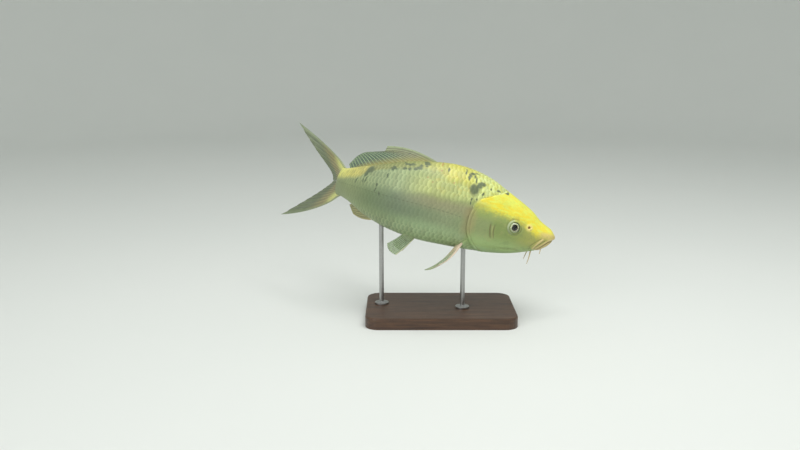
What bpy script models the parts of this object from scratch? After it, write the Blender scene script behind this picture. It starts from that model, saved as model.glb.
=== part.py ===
"""Koi carp, life size, as a still display model: head low, tail swept to its left, held on two rods.

The fish is described straight first, in fractions of its standard length: a station runs from 0 at the
snout to 1 at the end of the tail stalk, a side is to the fish's left and a height is above the axis.
posed() bends that straight fish along its spine, tips the head down and lifts it over the stand.
Metres, +Z up, +X ahead of the fish. The origin is the middle of the stand's underside.
"""

import math

import bmesh
import bpy
import numpy as np
from mathutils import Matrix, Vector
from mathutils.geometry import interpolate_bezier

# Driving dimensions, in metres and radians.
STANDARD_LENGTH = 0.270
FISH_HEIGHT = 0.120
FISH_SHIFT = Vector((0.004, -0.008, 0.0))
PIVOT_STATION = 0.45
PITCH = math.radians(15.0)
SEAM = 0.0005
CLEARANCE = 0.0003
TRIM_CLEARANCE = 0.0005

# The spine: straight to BEND_START, then turning to the fish's left up to the tail root.
BEND_START = 0.40
ROOT_HEADING = math.radians(70.0)
BEND_POWER = 1.3
FIN_TIP_STATION = 1.30
FIN_TIP_HEADING = math.radians(5.0)
TAIL_DROOP = math.tan(math.radians(10.0))

# Profiles of the straight fish: (station, value), both in standard lengths.
BACK = ((0.0, 0.018), (0.05, 0.038), (0.12, 0.080), (0.22, 0.125), (0.32, 0.165), (0.43, 0.180),
        (0.54, 0.168), (0.64, 0.145), (0.74, 0.112), (0.86, 0.078), (0.95, 0.061), (1.0, 0.060))
BELLY = ((0.0, -0.022), (0.04, -0.052), (0.10, -0.081), (0.19, -0.111), (0.30, -0.128), (0.42, -0.138),
         (0.53, -0.144), (0.66, -0.132), (0.76, -0.107), (0.87, -0.070), (0.95, -0.058), (1.0, -0.060))
HALF_WIDTH = ((0.0, 0.030), (0.05, 0.043), (0.10, 0.053), (0.165, 0.065), (0.28, 0.083), (0.42, 0.093),
              (0.56, 0.087), (0.70, 0.067), (0.85, 0.041), (0.95, 0.023), (1.0, 0.015))
WIDEST_LEVEL = ((0.0, 0.003), (0.03, -0.010), (0.08, -0.022), (0.17, -0.020), (0.30, -0.008), (0.45, 0.006),
                (0.7, 0.002), (1.0, 0.0))
UPPER_FULLNESS = ((0.0, 2.0), (0.15, 1.9), (0.45, 2.0), (1.0, 2.0))
LOWER_FULLNESS = ((0.0, 2.0), (0.15, 2.35), (0.45, 2.3), (0.8, 2.0), (1.0, 2.0))
SNOUT_ROUNDING = 0.032
STALK_END_ROUNDING = 0.020

# Where the head meets the trunk, by the angle round the body: 90 is the nape, 0 and 180 the
# flanks and -90 the throat. The gill opening is the stretch from the flank down to the throat.
GILL_LINE = ((-90.0, 0.255), (-70.0, 0.287), (-48.0, 0.318), (-29.0, 0.344), (-15.0, 0.360),
             (2.0, 0.366), (17.0, 0.357), (29.0, 0.334), (40.0, 0.296), (55.0, 0.262), (90.0, 0.222))
STALK_STATION = 0.83

# Meshes: points round the body, rings along each length of it, and how they crowd at the snout.
SECTION_SIDES = 36
HEAD_RINGS, TRUNK_RINGS, STALK_RINGS = 15, 20, 8
TRIM_RINGS = 48
SNOUT_CROWDING = 1.5

# Gill covers: plates let into the cheeks, from the cheek crease back to the gill line.
COVER_FRONT = 0.246
COVER_ANGLES = (-66.0, 17.0)
COVER_THICKNESS = 0.0026
COVER_STANDS_OUT = 0.0004
COVER_BOW = 0.012
COVER_REAR_GAP = 0.0022
COVER_POINTS = (8, 10)
RECESS_BEHIND = 0.03
RECESS_OUTSIDE = 0.005
RECESS_DEGREES = 900.0

# The gape runs from the snout down and back to the corner of the mouth.
GAPE_FRONT = (0.0, -0.008)
GAPE_CORNER = (0.088, -0.062)
GAPE_OVERRUN = 0.05
JAW_REACH = 0.004
JAW_BLOCK = (0.3, 0.12)

EYE_STATION, EYE_HEIGHT = 0.180, 0.009
EYE_RADIUS = 0.0061
EYE_DEPTH = 0.0043
EYE_STANDS_OUT = 0.0022

# Fins: root and margin of each, in standard lengths on the straight fish.
FIN_ROOT_THICKNESS = 0.0018
FIN_EDGE_SHARE = 0.35
FIN_ROOT_DEPTH = 0.014
DORSAL_BASE = (0.505, 0.906)
DORSAL_TIP_STATION = ((0.0, 0.745), (0.10, 0.752), (0.2, 0.768), (0.4, 0.803), (0.64, 0.858),
                      (0.8, 0.895), (1.0, 0.940))
DORSAL_TIP_HEIGHT = ((0.0, 0.184), (0.10, 0.162), (0.2, 0.158), (0.4, 0.151), (0.64, 0.138),
                     (0.8, 0.118), (1.0, 0.078))
DORSAL_BOW = 0.019
TAIL_FAN = {1: (math.radians(1.5), math.radians(22.3)), -1: (math.radians(1.5), math.radians(25.0))}
TAIL_BASE_HEIGHT = (0.004, 0.055)
TAIL_RAYS = (0.095, 0.398)
TAIL_FORK_POWER = 1.85
TAIL_BOW = 0.010
TAIL_ROOT = (0.965, 0.942)
LOWER_LOBE_TRAIL = 0.10
ANAL_BASE = (0.700, 0.835)
ANAL_TIPS = ((0.832, 0.004, -0.116), (0.866, 0.003, -0.084))
ANAL_BOW = 0.012
PECTORAL_ROOTS = ((0.356, 0.062, -0.096), (0.374, 0.048, -0.118))
PECTORAL_TIPS = {"right": ((0.428, 0.172, -0.182), (0.466, 0.078, -0.236)),
                 "left": ((0.440, 0.188, -0.140), (0.490, 0.112, -0.160))}
PECTORAL_BULGE = 0.018
PECTORAL_SAG = (-0.004, 0.0, -0.012)
PELVIC_ROOTS = ((0.522, 0.024, -0.120), (0.566, 0.040, -0.116))
PELVIC_TIPS = ((0.578, 0.050, -0.218), (0.626, 0.034, -0.186))
PELVIC_BULGE = 0.010
PELVIC_SAG = (0.0, 0.0, -0.004)

CORNER_BARBEL = {"root": (0.086, -0.066), "out": 0.010, "back": 0.004, "drop": 0.056, "radius": 0.0008}
LIP_BARBEL = {"root": (0.052, -0.047), "out": 0.010, "back": 0.002, "drop": 0.024, "radius": 0.0006}
BARBEL_TIP_RADIUS = 0.0003
BARBEL_ROOT_DEPTH = 0.012
BARBEL_POINTS = 7

# Stand.
BASE_SIZE = (0.160, 0.096, 0.012)
BASE_CORNER = 0.014
BASE_CHAMFER = 0.0015
ROD_RADIUS = 0.0025
ROD_FOOT_RADIUS = 0.0075
ROD_FOOT_HEIGHT = 0.003
ROD_OVERRUN = 0.004
FRONT_ROD_STATION = 0.34
REAR_ROD_STATION = 0.68


def clear_scene():
    for old in list(bpy.data.objects):
        bpy.data.objects.remove(old, do_unlink=True)


def new_collection(name, hidden=False):
    made = bpy.data.collections.new(name)
    bpy.context.scene.collection.children.link(made)
    made.hide_render = hidden
    return made


def finish(name, colour, roughness, metallic=0.0):
    """A plain Principled material."""
    made = bpy.data.materials.new(name)
    made.use_nodes = True
    shader = made.node_tree.nodes["Principled BSDF"]
    shader.inputs["Base Color"].default_value = (*colour, 1.0)
    shader.inputs["Roughness"].default_value = roughness
    shader.inputs["Metallic"].default_value = metallic
    made.diffuse_color = (*colour, 1.0)
    return made


def add_object(name, shape, material, collection):
    """A bmesh made an object, shaded smooth apart from its sharp edges."""
    mesh = bpy.data.meshes.new(name)
    shape.to_mesh(mesh)
    shape.free()
    made = bpy.data.objects.new(name, mesh)
    collection.objects.link(made)
    if material:
        mesh.materials.append(material)
    mesh.shade_smooth()
    mesh.set_sharp_from_angle(angle=math.radians(40))
    return made


def add_cutter(name, shape):
    made = add_object(name, shape, None, CUTTERS)
    made.hide_render = True
    made.display_type = "WIRE"
    return made


def cut(target, cutter, operation="DIFFERENCE"):
    modifier = target.modifiers.new(f"{operation.lower()} {cutter.name}", "BOOLEAN")
    modifier.operation = operation
    modifier.solver = "EXACT"
    modifier.object = cutter


def along(points, at):
    """Value at a place on the smooth curve through (place, value) points, level past its ends."""
    places = [place for place, _ in points]
    values = [value for _, value in points]
    at = min(max(at, places[0]), places[-1])
    spans = np.diff(places)
    slopes = np.diff(values) / spans
    tangents = np.concatenate([[slopes[0]], (slopes[1:] + slopes[:-1]) / 2, [slopes[-1]]])
    i = min(int(np.searchsorted(places, at, side="right")) - 1, len(spans) - 1)
    t = (at - places[i]) / spans[i]
    return float(
        values[i] * (1 + 2 * t) * (1 - t) ** 2
        + values[i + 1] * t * t * (3 - 2 * t)
        + tangents[i] * spans[i] * t * (1 - t) ** 2
        - tangents[i + 1] * spans[i] * t * t * (1 - t)
    )


def heading(station):
    """Angle by which the spine has turned to the fish's left."""
    if station <= BEND_START:
        return 0.0
    if station <= 1.0:
        return ROOT_HEADING * ((station - BEND_START) / (1.0 - BEND_START)) ** BEND_POWER
    return ROOT_HEADING + (FIN_TIP_HEADING - ROOT_HEADING) * (station - 1.0) / (FIN_TIP_STATION - 1.0)


def spine_table():
    """Stations and the spine's points there, by adding up short steps from the snout."""
    stations = np.linspace(0.0, 1.5, 601)
    step = stations[1] - stations[0]
    turned = np.array([heading(s + step / 2) for s in stations[:-1]])
    x = np.concatenate([[0.0], np.cumsum(-np.cos(turned) * step)])
    y = np.concatenate([[0.0], np.cumsum(np.sin(turned) * step)])
    return stations, x, y


def spine(station):
    stations, x, y = SPINE
    if station < 0.0:
        return Vector((-station, 0.0, 0.0))
    side = float(np.interp(station, stations, y))
    return Vector((float(np.interp(station, stations, x)), side, -TAIL_DROOP * side))


def posed(station, side, height):
    """The place in the finished model of a point on the straight fish."""
    turn = heading(station)
    left = Vector((math.sin(turn), math.cos(turn), 0.0))
    bent = spine(station) + left * side + Vector((0.0, 0.0, height))
    tipped = Matrix.Rotation(PITCH, 3, "Y") @ (bent - spine(PIVOT_STATION))
    return tipped * STANDARD_LENGTH + FISH_SHIFT + Vector((0.0, 0.0, FISH_HEIGHT))


def rounding(station):
    """How far the section has opened out, from 0 at either end of the body to 1."""
    share = min(station / SNOUT_ROUNDING, (1.0 - station) / STALK_END_ROUNDING, 1.0)
    return math.sqrt(max(0.0, 1.0 - (1.0 - share) ** 2))


def skin(station, angle, grown=0.0):
    """(side, height) of the body's surface, on a section of unlike upper and lower halves."""
    opened = rounding(station)
    level = along(WIDEST_LEVEL, station)
    upper = math.sin(angle) >= 0
    reach = (along(BACK, station) if upper else along(BELLY, station)) - level
    power = 2.0 / along(UPPER_FULLNESS if upper else LOWER_FULLNESS, station)
    across = math.copysign(abs(math.cos(angle)) ** power, math.cos(angle))
    up = abs(math.sin(angle)) ** power
    side = (along(HALF_WIDTH, station) * opened + grown) * across
    return side, level + (reach * opened + math.copysign(grown, reach)) * up


def gill_line(angle):
    """Station where the head ends, at an angle round the body."""
    from_flank = math.degrees(math.asin(max(-1.0, min(1.0, math.sin(angle)))))
    return along(GILL_LINE, from_flank)


def face_outward(shape):
    """Turns a closed shape whose faces all point inwards."""
    if shape.calc_volume(signed=True) < 0:
        bmesh.ops.reverse_faces(shape, faces=shape.faces)


def polar(vert):
    """(share of the way from the first pole to the last, longitude) of a unit sphere's vertex."""
    share = math.acos(max(-1.0, min(1.0, vert.co.z))) / math.pi
    return share, math.atan2(vert.co.y, vert.co.x)


def body_length(rings, first, last, grown=0.0):
    """A closed length of the body between two station functions of the angle.

    Each ring of a sphere becomes a section. A pole is the middle of a flat end, or the tip of the body.
    """
    shape = bmesh.new()
    bmesh.ops.create_uvsphere(shape, u_segments=SECTION_SIDES, v_segments=rings, radius=1.0)
    for vert in shape.verts:
        share, angle = polar(vert)
        ring = round(share * rings)
        at_pole = ring in (0, rings)
        angle = 0.0 if at_pole else angle
        open_start = first(0.0) > 0.0
        open_end = last(0.0) < 1.0
        start, end = int(open_start), rings - int(open_end)
        t = min(max((ring - start) / (end - start), 0.0), 1.0)
        t = t if open_end else math.sin(t * math.pi / 2)
        t = t if open_start else t ** SNOUT_CROWDING
        station = first(angle) + (last(angle) - first(angle)) * t
        side, height = skin(station, angle, grown)
        if at_pole:
            side, height = 0.0, along(WIDEST_LEVEL, station)
            station += math.copysign(grown, station - 0.5)
        vert.co = posed(station, side, height)
    face_outward(shape)
    return shape


def whole_body(grown):
    """The body in one piece, grown outward, for trimming the fins and rods against it."""
    return body_length(TRIM_RINGS, lambda angle: 0.0, lambda angle: 1.0, grown / STANDARD_LENGTH)


def side_at(station, height):
    """Half the body's width at a height."""
    level = along(WIDEST_LEVEL, station)
    upper = height >= level
    reach = ((along(BACK, station) if upper else along(BELLY, station)) - level) * rounding(station)
    fullness = along(UPPER_FULLNESS if upper else LOWER_FULLNESS, station)
    up = min(1.0, (height - level) / reach)
    return along(HALF_WIDTH, station) * rounding(station) * (1.0 - up ** fullness) ** (1.0 / fullness)


def flank_place(station, height, hand):
    """(place, outward direction) on the flank. hand is 1 on the fish's left and -1 on its right."""
    step = 0.004
    place = posed(station, hand * side_at(station, height), height)
    ahead = posed(station - step, hand * side_at(station - step, height), height)
    above = posed(station, hand * side_at(station, height + step), height + step)
    return place, ((ahead - place).cross(above - place) * -hand).normalized()


def box_between(start, end, width, depth):
    """A box in the straight fish whose top runs from start to end, both (station, height)."""
    shape = bmesh.new()
    bmesh.ops.create_cube(shape, size=1.0)
    run = Vector((end[0] - start[0], end[1] - start[1]))
    down = Vector((run.y, -run.x)).normalized() * depth
    for vert in shape.verts:
        place = Vector(start) + run * (vert.co.x + 0.5) + down * (0.5 - vert.co.z)
        vert.co = posed(place.x, vert.co.y * width, place.y)
    face_outward(shape)
    return shape


def jaw_block(grown):
    """All that lies under the gape, from beyond the snout to the corner of the mouth."""
    run = (Vector(GAPE_CORNER) - Vector(GAPE_FRONT)).normalized()
    lift = Vector((-run.y, run.x)) * grown
    start = Vector(GAPE_FRONT) - run * GAPE_OVERRUN + lift
    end = Vector(GAPE_CORNER) + run * (JAW_REACH + grown) + lift
    return box_between(start, end, *JAW_BLOCK)


def gill_plate(grown, outward, rear):
    """A patch of the left cheek from the crease back to the gill line, as far out as given."""
    shape = bmesh.new()
    bmesh.ops.create_grid(shape, x_segments=COVER_POINTS[0], y_segments=COVER_POINTS[1], size=1.0)
    low, high = COVER_ANGLES
    for vert in shape.verts:
        u, v = (vert.co.x + 1) / 2, (vert.co.y + 1) / 2
        degrees = low + (high - low) * v + grown * RECESS_DEGREES * (2 * v - 1)
        front = COVER_FRONT + COVER_BOW * (2 * v - 1) ** 2 - grown
        back = gill_line(math.radians(degrees)) + rear
        side, height = skin(front + (back - front) * u, math.radians(degrees), outward)
        vert.co = Vector((front + (back - front) * u, side, height))
    return shape


def place_patch(shape, hand):
    """Poses a patch given on the straight fish's left flank, on the side that hand names."""
    for vert in shape.verts:
        vert.co = posed(vert.co.x, vert.co.y * hand, vert.co.z)
    shape.normal_update()
    centre = sum((vert.co for vert in shape.verts), Vector()) / len(shape.verts)
    axis = posed(COVER_FRONT, 0.0, 0.0)
    face = min(shape.faces, key=lambda f: (f.calc_center_median() - centre).length)
    if face.normal.dot(centre - axis) < 0:
        bmesh.ops.reverse_faces(shape, faces=shape.faces)


def thicken(target, thickness, offset, edge_share=None):
    """A wall on an open surface. With an edge share it thins towards the vertices of low weight."""
    modifier = target.modifiers.new("thickness", "SOLIDIFY")
    modifier.thickness = thickness
    modifier.offset = offset
    if edge_share is not None:
        modifier.vertex_group = "thickness"
        modifier.thickness_vertex_group = edge_share


def make_gill_cover(hand, name, head):
    shape = gill_plate(0.0, COVER_STANDS_OUT / STANDARD_LENGTH, -COVER_REAR_GAP)
    place_patch(shape, hand)
    cover = add_object(name, shape, CHEEK, FISH)
    thicken(cover, COVER_THICKNESS, -1.0)
    room = gill_plate(SEAM / STANDARD_LENGTH, RECESS_OUTSIDE, RECESS_BEHIND)
    place_patch(room, hand)
    recess = add_cutter(f"{name}_recess", room)
    deep = RECESS_OUTSIDE * STANDARD_LENGTH - COVER_STANDS_OUT + COVER_THICKNESS + CLEARANCE
    thicken(recess, deep, -1.0)
    cut(head, recess)


def make_eye(hand, name, head):
    """A flattened ball set in the cheek, and the socket that it leaves room for."""
    place, outward = flank_place(EYE_STATION, EYE_HEIGHT, hand)
    turn = outward.to_track_quat("Z", "Y").to_matrix().to_4x4()
    centre = Matrix.Translation(place - outward * (EYE_DEPTH - EYE_STANDS_OUT))
    for grown in (0.0, CLEARANCE):
        shape = bmesh.new()
        bmesh.ops.create_uvsphere(shape, u_segments=16, v_segments=10, radius=1.0)
        size = (EYE_RADIUS + grown, EYE_RADIUS + grown, EYE_DEPTH + grown)
        stretch = Matrix.Diagonal((*size, 1.0))
        bmesh.ops.transform(shape, matrix=centre @ turn @ stretch, verts=shape.verts)
        if grown:
            cut(head, add_cutter(f"{name}_socket", shape))
        else:
            add_object(name, shape, EYE, FISH)


def make_fin(name, place, rays, steps, material):
    """A fin from place(across the fan, along the ray), thickest at its root, trimmed at the skin."""
    shape = bmesh.new()
    bmesh.ops.create_grid(shape, x_segments=rays, y_segments=steps, size=1.0)
    out = [(vert.co.y + 1) / 2 for vert in shape.verts]
    for vert in shape.verts:
        vert.co = posed(*place((vert.co.x + 1) / 2, (vert.co.y + 1) / 2))
    bmesh.ops.recalc_face_normals(shape, faces=shape.faces)
    fin = add_object(name, shape, material, FISH)
    group = fin.vertex_groups.new(name="thickness")
    for i, share in enumerate(out):
        group.add([i], 1.0 - share, "REPLACE")
    thicken(fin, FIN_ROOT_THICKNESS, 0.0, FIN_EDGE_SHARE)
    cut(fin, TRIM)


def dorsal_place(u, v):
    root = DORSAL_BASE[0] + (DORSAL_BASE[1] - DORSAL_BASE[0]) * u
    low = along(BACK, root) - FIN_ROOT_DEPTH
    station = root + (along(DORSAL_TIP_STATION, u) - root) * v
    height = low + (along(DORSAL_TIP_HEIGHT, u) - low) * v
    return station, 0.0, height + DORSAL_BOW * (1 - u) * 4 * v * (1 - v)


def tail_place(u, v, hand):
    """hand is 1 for the upper lobe and -1 for the lower, which trails further to the left."""
    angle = TAIL_FAN[hand][0] + (TAIL_FAN[hand][1] - TAIL_FAN[hand][0]) * u
    root = TAIL_BASE_HEIGHT[0] + (TAIL_BASE_HEIGHT[1] - TAIL_BASE_HEIGHT[0]) * u
    reach = (TAIL_RAYS[0] + (TAIL_RAYS[1] - TAIL_RAYS[0]) * u ** TAIL_FORK_POWER) * v
    side = LOWER_LOBE_TRAIL * ((reach - TAIL_RAYS[0] * v) / TAIL_RAYS[1]) ** 2 if hand < 0 else 0.0
    station = TAIL_ROOT[0] + (TAIL_ROOT[1] - TAIL_ROOT[0]) * u ** 3 + reach * math.cos(angle)
    height = root + reach * math.sin(angle) - TAIL_BOW * u ** 2 * 4 * v * (1 - v) * (1 - 1.2 * v ** 2)
    return station, side, hand * height


def anal_place(u, v):
    root = ANAL_BASE[0] + (ANAL_BASE[1] - ANAL_BASE[0]) * u
    low = along(BELLY, root) + FIN_ROOT_DEPTH
    tip = Vector(ANAL_TIPS[0]).lerp(Vector(ANAL_TIPS[1]), u)
    bow = ANAL_BOW * (1 - u) * 4 * v * (1 - v)
    return Vector((root, 0.0, low)).lerp(tip, v) - Vector((0.0, 0.0, bow))


def paired_place(roots, tips, bulge, sag, hand, u, v):
    """A pectoral or pelvic fin between the (station, side, height) ends of its root and of its margin."""
    root = Vector(roots[0]).lerp(Vector(roots[1]), u)
    tip = Vector(tips[0]).lerp(Vector(tips[1]), u)
    tip += (tip - root).normalized() * bulge * math.sin(math.pi * u)
    place = root.lerp(tip, v) + Vector(sag) * 4 * v * (1 - v)
    return place.x, place.y * hand, place.z


def make_paired_fins(side, hand):
    def pectoral(u, v):
        return paired_place(PECTORAL_ROOTS, PECTORAL_TIPS[side], PECTORAL_BULGE, PECTORAL_SAG, hand, u, v)

    def pelvic(u, v):
        return paired_place(PELVIC_ROOTS, PELVIC_TIPS, PELVIC_BULGE, PELVIC_SAG, hand, u, v)

    make_fin(f"pectoral_fin_{side}", pectoral, 9, 7, MEMBRANE)
    make_fin(f"pelvic_fin_{side}", pelvic, 7, 6, MEMBRANE)


def make_fins():
    make_fin("dorsal_fin", dorsal_place, 22, 5, MEMBRANE)
    make_fin("tail_fin_upper", lambda u, v: tail_place(u, v, 1), 9, 9, MEMBRANE)
    make_fin("tail_fin_lower", lambda u, v: tail_place(u, v, -1), 9, 9, MEMBRANE)
    make_fin("anal_fin", anal_place, 6, 5, MEMBRANE)
    for hand, side in ((1, "left"), (-1, "right")):
        make_paired_fins(side, hand)


def make_barbel(name, barbel, hand):
    """A tapering feeler that hangs from the lip, trimmed at the skin."""
    station, height = barbel["root"]
    side = side_at(station, height)
    root = posed(station, hand * (side - BARBEL_ROOT_DEPTH), height)
    middle = posed(station + barbel["back"] / 3, hand * (side + barbel["out"]), height - barbel["drop"] / 2)
    tip = posed(station + barbel["back"], hand * (side + barbel["out"]), height - barbel["drop"])
    spots = interpolate_bezier(root, root.lerp(middle, 0.6), middle.lerp(tip, 0.2), tip, BARBEL_POINTS)
    curve = bpy.data.curves.new(name, "CURVE")
    curve.dimensions = "3D"
    curve.bevel_depth = 1.0
    curve.bevel_resolution = 2
    curve.use_fill_caps = True
    spline = curve.splines.new("POLY")
    spline.points.add(BARBEL_POINTS - 1)
    for i, spot in enumerate(spots):
        spline.points[i].co = (*spot, 1.0)
        share = i / (BARBEL_POINTS - 1)
        spline.points[i].radius = barbel["radius"] + (BARBEL_TIP_RADIUS - barbel["radius"]) * share
    drawn = bpy.data.objects.new(f"{name}_curve", curve)
    FISH.objects.link(drawn)
    mesh = bpy.data.meshes.new_from_object(drawn.evaluated_get(bpy.context.evaluated_depsgraph_get()))
    shape = bmesh.new()
    shape.from_mesh(mesh)
    bmesh.ops.remove_doubles(shape, verts=shape.verts, dist=1e-6)
    bpy.data.objects.remove(drawn)
    cut(add_object(name, shape, LIP, FISH), TRIM)


def make_barbels():
    for hand, side in ((1, "left"), (-1, "right")):
        make_barbel(f"barbel_corner_{side}", CORNER_BARBEL, hand)
        make_barbel(f"barbel_lip_{side}", LIP_BARBEL, hand)


def make_head():
    head = add_object("head", body_length(HEAD_RINGS, lambda angle: 0.0, gill_line), HEAD, FISH)
    jaw = add_object("lower_jaw", body_length(HEAD_RINGS, lambda angle: 0.0, gill_line), LIP, FISH)
    cut(jaw, add_cutter("jaw_block", jaw_block(0.0)), "INTERSECT")
    cut(head, add_cutter("jaw_room", jaw_block(SEAM / STANDARD_LENGTH)))
    for hand, side in ((1, "left"), (-1, "right")):
        make_gill_cover(hand, f"gill_cover_{side}", head)
        make_eye(hand, f"eye_{side}", head)


def make_trunk():
    seam = SEAM / STANDARD_LENGTH
    shape = body_length(TRUNK_RINGS, lambda angle: gill_line(angle) + seam, lambda angle: STALK_STATION)
    add_object("trunk", shape, FLANK, FISH)


def make_tail_stalk():
    seam = SEAM / STANDARD_LENGTH
    shape = body_length(STALK_RINGS, lambda angle: STALK_STATION + seam, lambda angle: 1.0)
    add_object("tail_stalk", shape, FLANK, FISH)


def make_stand_base():
    shape = bmesh.new()
    bmesh.ops.create_cube(shape, size=1.0)
    bmesh.ops.scale(shape, vec=BASE_SIZE, verts=shape.verts)
    bmesh.ops.translate(shape, vec=(0.0, 0.0, BASE_SIZE[2] / 2), verts=shape.verts)
    upright = [edge for edge in shape.edges if edge.verts[0].co.xy == edge.verts[1].co.xy]
    rounded = {"affect": "EDGES", "profile": 0.5, "material": -1}
    bmesh.ops.bevel(shape, geom=upright, offset=BASE_CORNER, segments=8, **rounded)
    top = [edge for edge in shape.edges if min(vert.co.z for vert in edge.verts) > 0.99 * BASE_SIZE[2]]
    bmesh.ops.bevel(shape, geom=top, offset=BASE_CHAMFER, segments=2, **rounded)
    add_object("stand_base", shape, STAND_WOOD, FISH)


def make_rod(name, station):
    """A turned rod with a foot, standing on the base and trimmed to the belly above it."""
    belly = posed(station, 0.0, along(BELLY, station))
    foot = BASE_SIZE[2] + CLEARANCE
    profile = ((0.0, belly.z + ROD_OVERRUN), (ROD_RADIUS, belly.z + ROD_OVERRUN),
               (ROD_RADIUS, foot + ROD_FOOT_HEIGHT), (ROD_FOOT_RADIUS, foot + ROD_FOOT_HEIGHT / 2),
               (ROD_FOOT_RADIUS, foot), (0.0, foot))
    shape = bmesh.new()
    verts = [shape.verts.new((radius, 0.0, height)) for radius, height in profile]
    for upper, lower in zip(verts, verts[1:]):
        shape.edges.new((upper, lower))
    rod = add_object(name, shape, STAND_STEEL, FISH)
    rod.location = (belly.x, belly.y, 0.0)
    turned = rod.modifiers.new("turned", "SCREW")
    turned.axis = "Z"
    turned.steps = turned.render_steps = 24
    turned.use_merge_vertices = True
    turned.merge_threshold = 1e-5
    cut(rod, TRIM)


SPINE = spine_table()
clear_scene()
FISH = new_collection("koi_carp")
CUTTERS = new_collection("cutters", hidden=True)
HEAD = finish("head_skin", (0.86, 0.78, 0.12), 0.35)
CHEEK = finish("cheek_skin", (0.42, 0.44, 0.24), 0.32)
FLANK = finish("scaled_skin", (0.55, 0.56, 0.38), 0.34)
LIP = finish("lip_skin", (0.80, 0.50, 0.30), 0.4)
MEMBRANE = finish("fin_membrane", (0.55, 0.58, 0.44), 0.42)
EYE = finish("eye", (0.62, 0.64, 0.58), 0.08)
STAND_WOOD = finish("stand_wood", (0.12, 0.075, 0.05), 0.45)
STAND_STEEL = finish("stand_steel", (0.6, 0.6, 0.6), 0.28, 1.0)

make_head()
make_trunk()
make_tail_stalk()
TRIM = add_cutter("trim", whole_body(TRIM_CLEARANCE))
make_fins()
make_barbels()
make_stand_base()
make_rod("stand_rod_front", FRONT_ROD_STATION)
make_rod("stand_rod_rear", REAR_ROD_STATION)
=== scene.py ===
"""Looks of a life-size koi carp model: one skin with a sculpted head, overlapping scales, rayed fins,
eyes and feelers, on a plain stand.

The fish is described straight, in standard lengths: a station runs from 0 at the snout to 1 at the end
of the tail stalk, a side is to the fish's left and a height is above the axis. posed() bends that fish.
"""

import math

import bmesh
import bpy
import numpy as np
from mathutils import Matrix, Vector
from mathutils.geometry import interpolate_bezier


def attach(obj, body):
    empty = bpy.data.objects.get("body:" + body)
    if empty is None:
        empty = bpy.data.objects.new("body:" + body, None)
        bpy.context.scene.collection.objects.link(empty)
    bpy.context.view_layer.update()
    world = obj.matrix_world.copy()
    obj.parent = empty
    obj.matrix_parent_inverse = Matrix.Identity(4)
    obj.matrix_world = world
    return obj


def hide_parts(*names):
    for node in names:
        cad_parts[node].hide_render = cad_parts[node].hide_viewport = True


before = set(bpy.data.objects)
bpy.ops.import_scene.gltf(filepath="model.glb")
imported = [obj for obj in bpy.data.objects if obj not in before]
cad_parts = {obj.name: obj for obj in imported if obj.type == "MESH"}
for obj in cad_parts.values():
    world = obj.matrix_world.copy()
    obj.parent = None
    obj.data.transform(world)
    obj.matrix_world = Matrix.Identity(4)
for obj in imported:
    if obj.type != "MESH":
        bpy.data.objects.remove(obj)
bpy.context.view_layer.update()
MM = 0.001
# Small step between two places whose difference gives a direction.
NUDGE = 1e-3

# Pose, in metres and radians.
STANDARD_LENGTH = 0.270
FISH_HEIGHT = 0.120
FISH_SHIFT = np.array((0.004, -0.008, 0.0))
PIVOT_STATION = 0.45
PITCH = math.radians(15.0)
BEND_START = 0.40
ROOT_HEADING = math.radians(70.0)
BEND_POWER = 1.3
FIN_TIP_STATION = 1.30
FIN_TIP_HEADING = math.radians(5.0)
TAIL_DROOP = math.tan(math.radians(10.0))

# Profiles of the straight fish: (station, value), both in standard lengths.
BACK = ((0.0, 0.018), (0.05, 0.038), (0.12, 0.080), (0.22, 0.125), (0.32, 0.165), (0.43, 0.180),
        (0.54, 0.168), (0.64, 0.145), (0.74, 0.112), (0.86, 0.078), (0.95, 0.061), (1.0, 0.060))
BELLY = ((0.0, -0.022), (0.04, -0.052), (0.10, -0.081), (0.19, -0.111), (0.30, -0.128), (0.42, -0.138),
         (0.53, -0.144), (0.66, -0.132), (0.76, -0.107), (0.87, -0.070), (0.95, -0.058), (1.0, -0.060))
HALF_WIDTH = ((0.0, 0.030), (0.05, 0.043), (0.10, 0.053), (0.165, 0.065), (0.28, 0.083), (0.42, 0.093),
              (0.56, 0.087), (0.70, 0.067), (0.85, 0.041), (0.95, 0.023), (1.0, 0.015))
WIDEST_LEVEL = ((0.0, 0.003), (0.03, -0.010), (0.08, -0.022), (0.17, -0.020), (0.30, -0.008), (0.45, 0.006),
                (0.7, 0.002), (1.0, 0.0))
UPPER_FULLNESS = ((0.0, 2.0), (0.15, 1.9), (0.45, 2.0), (1.0, 2.0))
LOWER_FULLNESS = ((0.0, 2.0), (0.15, 2.35), (0.45, 2.3), (0.8, 2.0), (1.0, 2.0))
SNOUT_ROUNDING = 0.032
STALK_END_ROUNDING = 0.020
GILL_LINE = ((-90.0, 0.255), (-70.0, 0.287), (-48.0, 0.318), (-29.0, 0.344), (-15.0, 0.360),
             (2.0, 0.366), (17.0, 0.357), (29.0, 0.334), (40.0, 0.296), (55.0, 0.262), (90.0, 0.222))

# Fins: root and margin of each, in standard lengths on the straight fish.
FIN_ROOT_DEPTH = 0.014
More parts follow.
